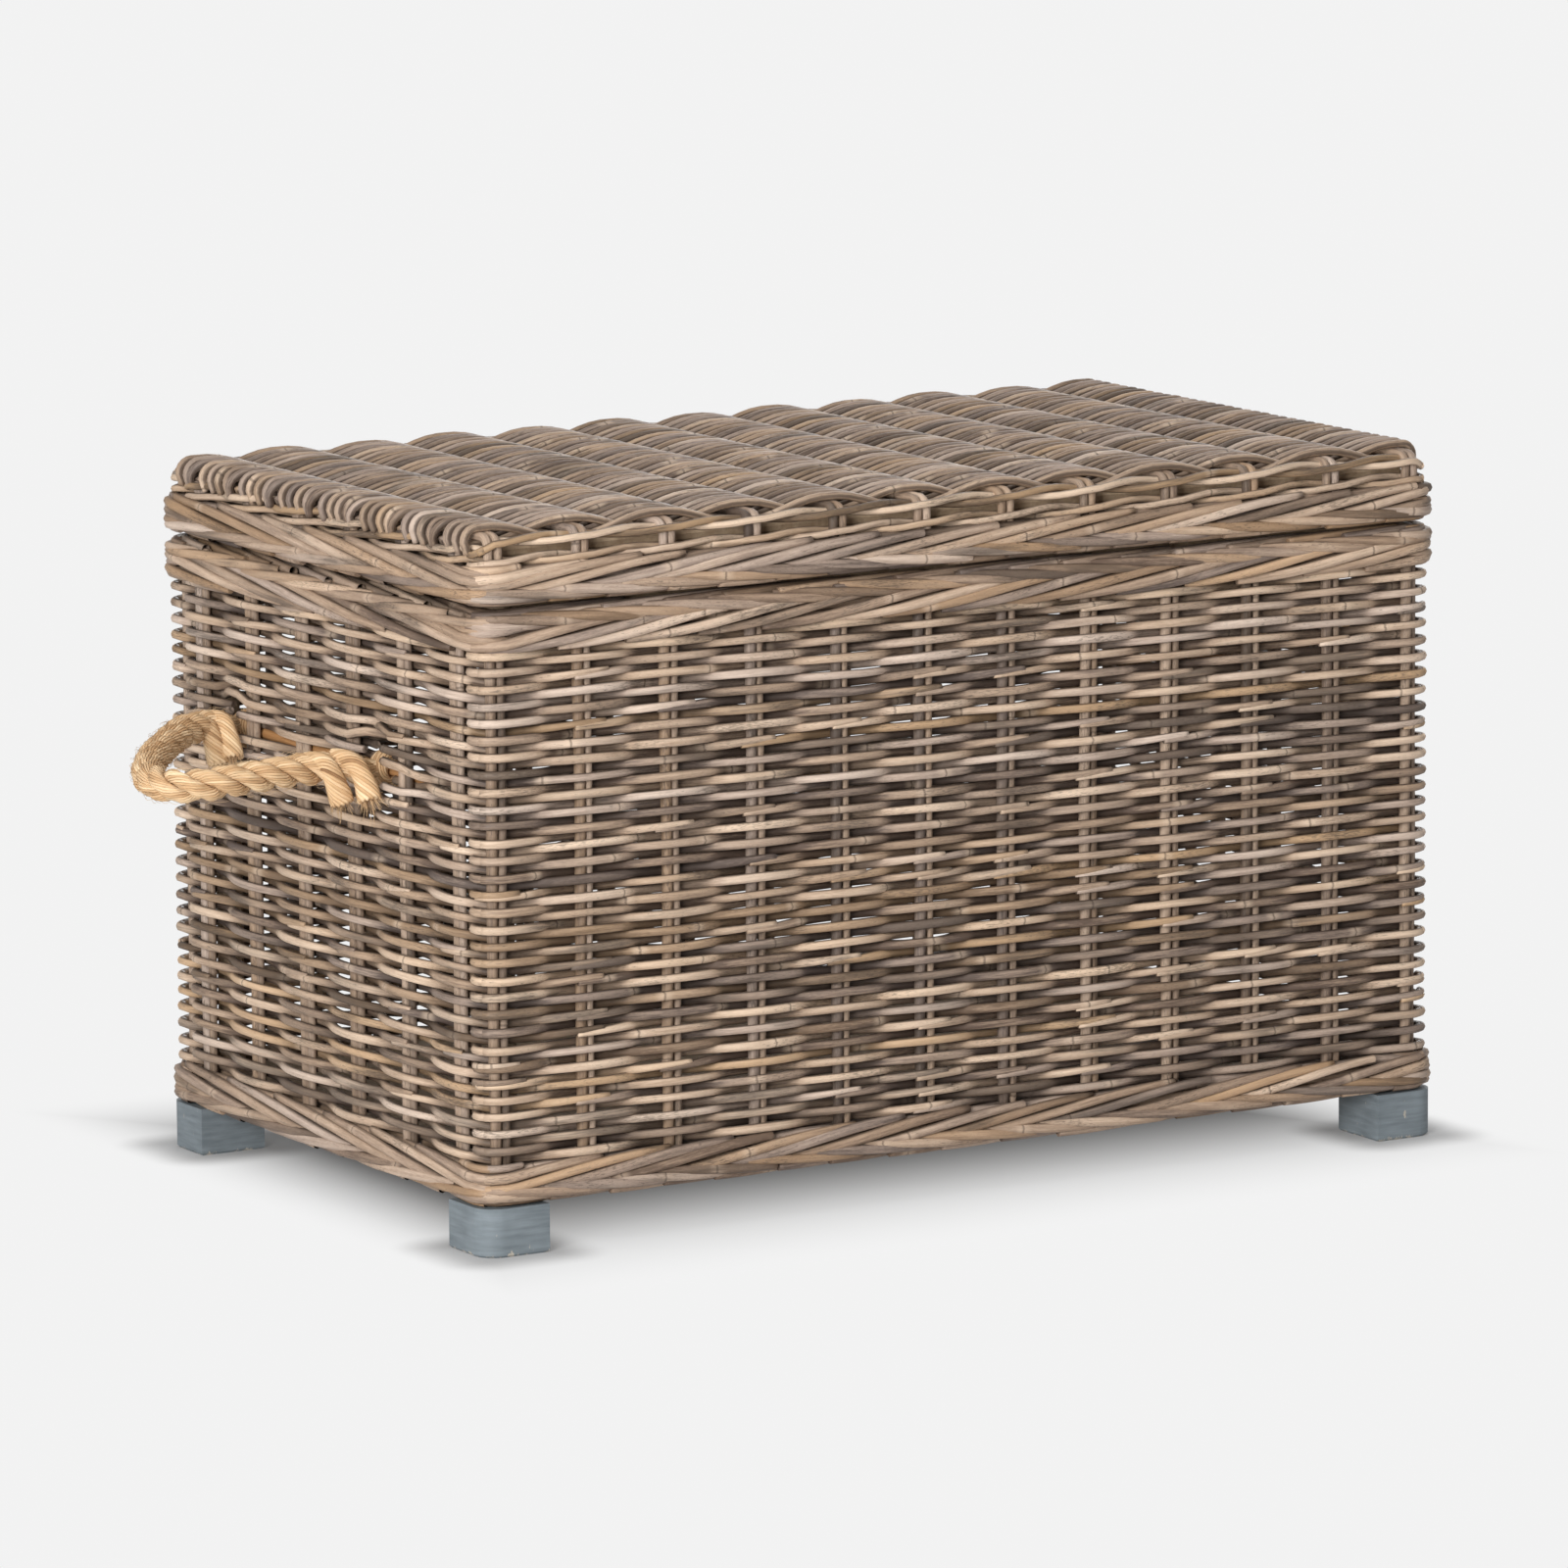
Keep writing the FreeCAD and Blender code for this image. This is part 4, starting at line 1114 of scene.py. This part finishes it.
def paint_finish(name):
    bench = Bench(bpy.data.materials.new(name))
    place = bench.place()
    _, _, height = bench.split(place)
    brush = bench.noise(bench.place((30, 30, 260)), detail=4.0)
    cloud = bench.noise(place, scale=24.0, detail=3.0)
    scuffs = bench.noise(bench.place((140, 140, 60)), detail=5.0, roughness=0.7)
    # The paint's colours are darkened as a painted shade from the trunk above the feet.
    stops = ((0.3, (0.105, 0.126, 0.140)), (0.7, (0.215, 0.25, 0.27)))
    colour = bench.ramp(brush * 0.5 + cloud * 0.5, stops)
    low = bench.between(height, 0.0, 0.006, 0.16, 0.0)
    worn = bench.between(scuffs + low, 0.66, 0.72)
    colour = bench.mix(worn * 0.8, colour, (0.45, 0.40, 0.33))
    bench.bump(brush * 0.5 - worn * 0.6, 0.0004, 0.6)
    return bench.surface(colour, 0.62 + cloud * 0.15)


def steel_finish(name):
    bench = Bench(bpy.data.materials.new(name))
    brushed = bench.noise(bench.place((40, 900, 900)), detail=3.0)
    spots = bench.noise(bench.place(), scale=180.0, detail=3.0)
    stops = ((0.3, (0.30, 0.29, 0.27)), (0.7, (0.56, 0.55, 0.53)))
    colour = bench.ramp(brushed * 0.5 + spots * 0.5, stops)
    bench.bump(brushed, 0.0002, 0.3)
    return bench.surface(colour, 0.32 + spots * 0.25, Metallic=1.0)


pole_wood = wood_finish("frame_pole", (0.26, 0.17, 0.10), (0.52, 0.39, 0.26), (60, 60, 60))
board_wood = wood_finish("board", (0.34, 0.23, 0.13), (0.58, 0.43, 0.28), (6, 90, 90))
rod_wood = wood_finish("rod_cane", (0.30, 0.13, 0.045), (0.58, 0.31, 0.13), (220, 16, 220), 0.4)
finish_of_slot = {
    "frame_pole": pole_wood, "board": board_wood, "peeled_cane": rod_wood,
    "foot_paint": paint_finish("foot_paint"), "hardware": steel_finish("hardware"),
}

# %% Give every carried-over node its finish
slot_words = (
    ("handle_rod", "peeled_cane"), ("post", "frame_pole"), ("rail", "frame_pole"),
    ("bottom", "board"), ("screw", "hardware"), ("hinge", "hardware"), ("foot", "foot_paint"),
)
for name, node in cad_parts.items():
    slot = next((s for word, s in slot_words if word in name), None)
    if slot is None:
        continue
    if not node.material_slots:
        node.data.materials.append(finish_of_slot[slot])
    for place in node.material_slots:
        place.material = finish_of_slot[slot]
print("finishes on carried-over nodes done")

# %% [markdown]
# Floor, background and light
#
# The photograph is a studio cut-out on near white, with a soft shadow under
# the trunk and soft light from the front left. A pale world lights everything
# evenly, and three large lamps stand above, behind and at the front left,
# where the strongest one gives the direction. The floor is given a painted
# shadow: it is darkest under the trunk and close to its feet, and fades into
# the background away from them.

# %% Floor
backdrop = (0.89, 0.89, 0.89, 1.0)
foot_low, foot_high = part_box("back_right_foot")
foot_middle = tuple((foot_low + foot_high) / 2)
foot_half = tuple((foot_high - foot_low) / 2)
shade_starts = {"end": 0.15, "back": 0.08}
shade_goes, glow_comes, foot_shade = 0.35, 0.45, 0.055


def floor_finish():
    """A painted shadow near the trunk and its feet, as bright as the backdrop away from it."""
    bench = Bench(bpy.data.materials.new("floor"))
    place = bench.place()
    size = bench.vector("ABSOLUTE", place)
    along, aside = bench.split(size)[0], bench.split(place)[1]
    from_foot = bench.vector("ABSOLUTE", bench.vector("SUBTRACT", size, foot_middle))
    from_foot = bench.vector("SUBTRACT", from_foot, foot_half)
    from_foot = bench.vector("MAXIMUM", from_foot, (0.0, 0.0, 0.0))
    from_foot = bench.number("ShaderNodeVectorMath", (from_foot,), output=1, operation="LENGTH")
    past_end = (along - base_high.x + shade_starts["end"]) * 2.2
    past_back = (aside - base_high.y + shade_starts["back"]) * 1.5
    far = past_end.sum("MAXIMUM", aside * -1.0).sum("MAXIMUM", past_back)
    seen = bench.seen()
    # Seen by the camera, the floor is darker than the light it throws back, most under the trunk: a
    # painted shadow.
    shown = bench.between(far, 0.0, shade_goes, 0.10, 0.38)
    bench.surface(bench.mix(seen, (0.83, 0.83, 0.835), shown), 0.9, Specular_IOR_Level=0.0)
    # The glow is held back under the trunk and close to its feet, which keeps the painted shadow
    # there.
    fade = bench.between(far, 0.0, glow_comes, 0.03, 1.0)
    fade = fade * bench.between(from_foot, 0.0, foot_shade, 0.25, 1.0) * seen
    glow = bench.add("ShaderNodeEmission", {"Color": backdrop, "Strength": 1.0})
    blend = bench.add("ShaderNodeMixShader", (fade, bench.shader.outputs[0], glow.outputs[0]))
    bench.feed(bench.tree.nodes["Material Output"].inputs["Surface"], blend.outputs[0])
    return bench.owner


bpy.ops.object.select_all(action="DESELECT")
bpy.ops.mesh.primitive_circle_add(vertices=96, radius=14.0, fill_type="NGON")
floor = bpy.context.object
floor.name = "floor"
floor.data.materials.append(floor_finish())

# %% World and lamps
world = bpy.data.worlds.new("studio")
bpy.context.scene.world = world
bench = Bench(world)
background = bench.tree.nodes["Background"]
background.inputs["Color"].default_value = (1.0, 1.0, 1.0, 1.0)
background.inputs["Strength"].default_value = 0.26
shown = bench.add("ShaderNodeBackground", {"Color": backdrop})
choose = bench.add("ShaderNodeMixShader", (bench.seen(), background.outputs[0], shown.outputs[0]))
bench.feed(bench.tree.nodes["World Output"].inputs["Surface"], choose.outputs[0])
lamp_aim = Vector((0, 0, 0.3))


def lamp(name, place, size, watts):
    """A square lamp that looks at the middle of the trunk."""
    light = bpy.data.lights.new(name, "AREA")
    light.size = size
    light.energy = watts
    holder = bpy.data.objects.new(name, light)
    bpy.context.collection.objects.link(holder)
    holder.location = place
    holder.rotation_euler = (lamp_aim - Vector(place)).to_track_quat("-Z", "Y").to_euler()


lamp("top_lamp", (-0.9, -1.6, 3.2), 1.5, 36.0)
lamp("back_lamp", (2.9, 3.7, 1.9), 2.4, 110.0)
lamp("front_lamp", (-4.6, -3.5, 1.8), 2.2, 308.0)
bpy.context.scene.view_settings.view_transform = "Standard"
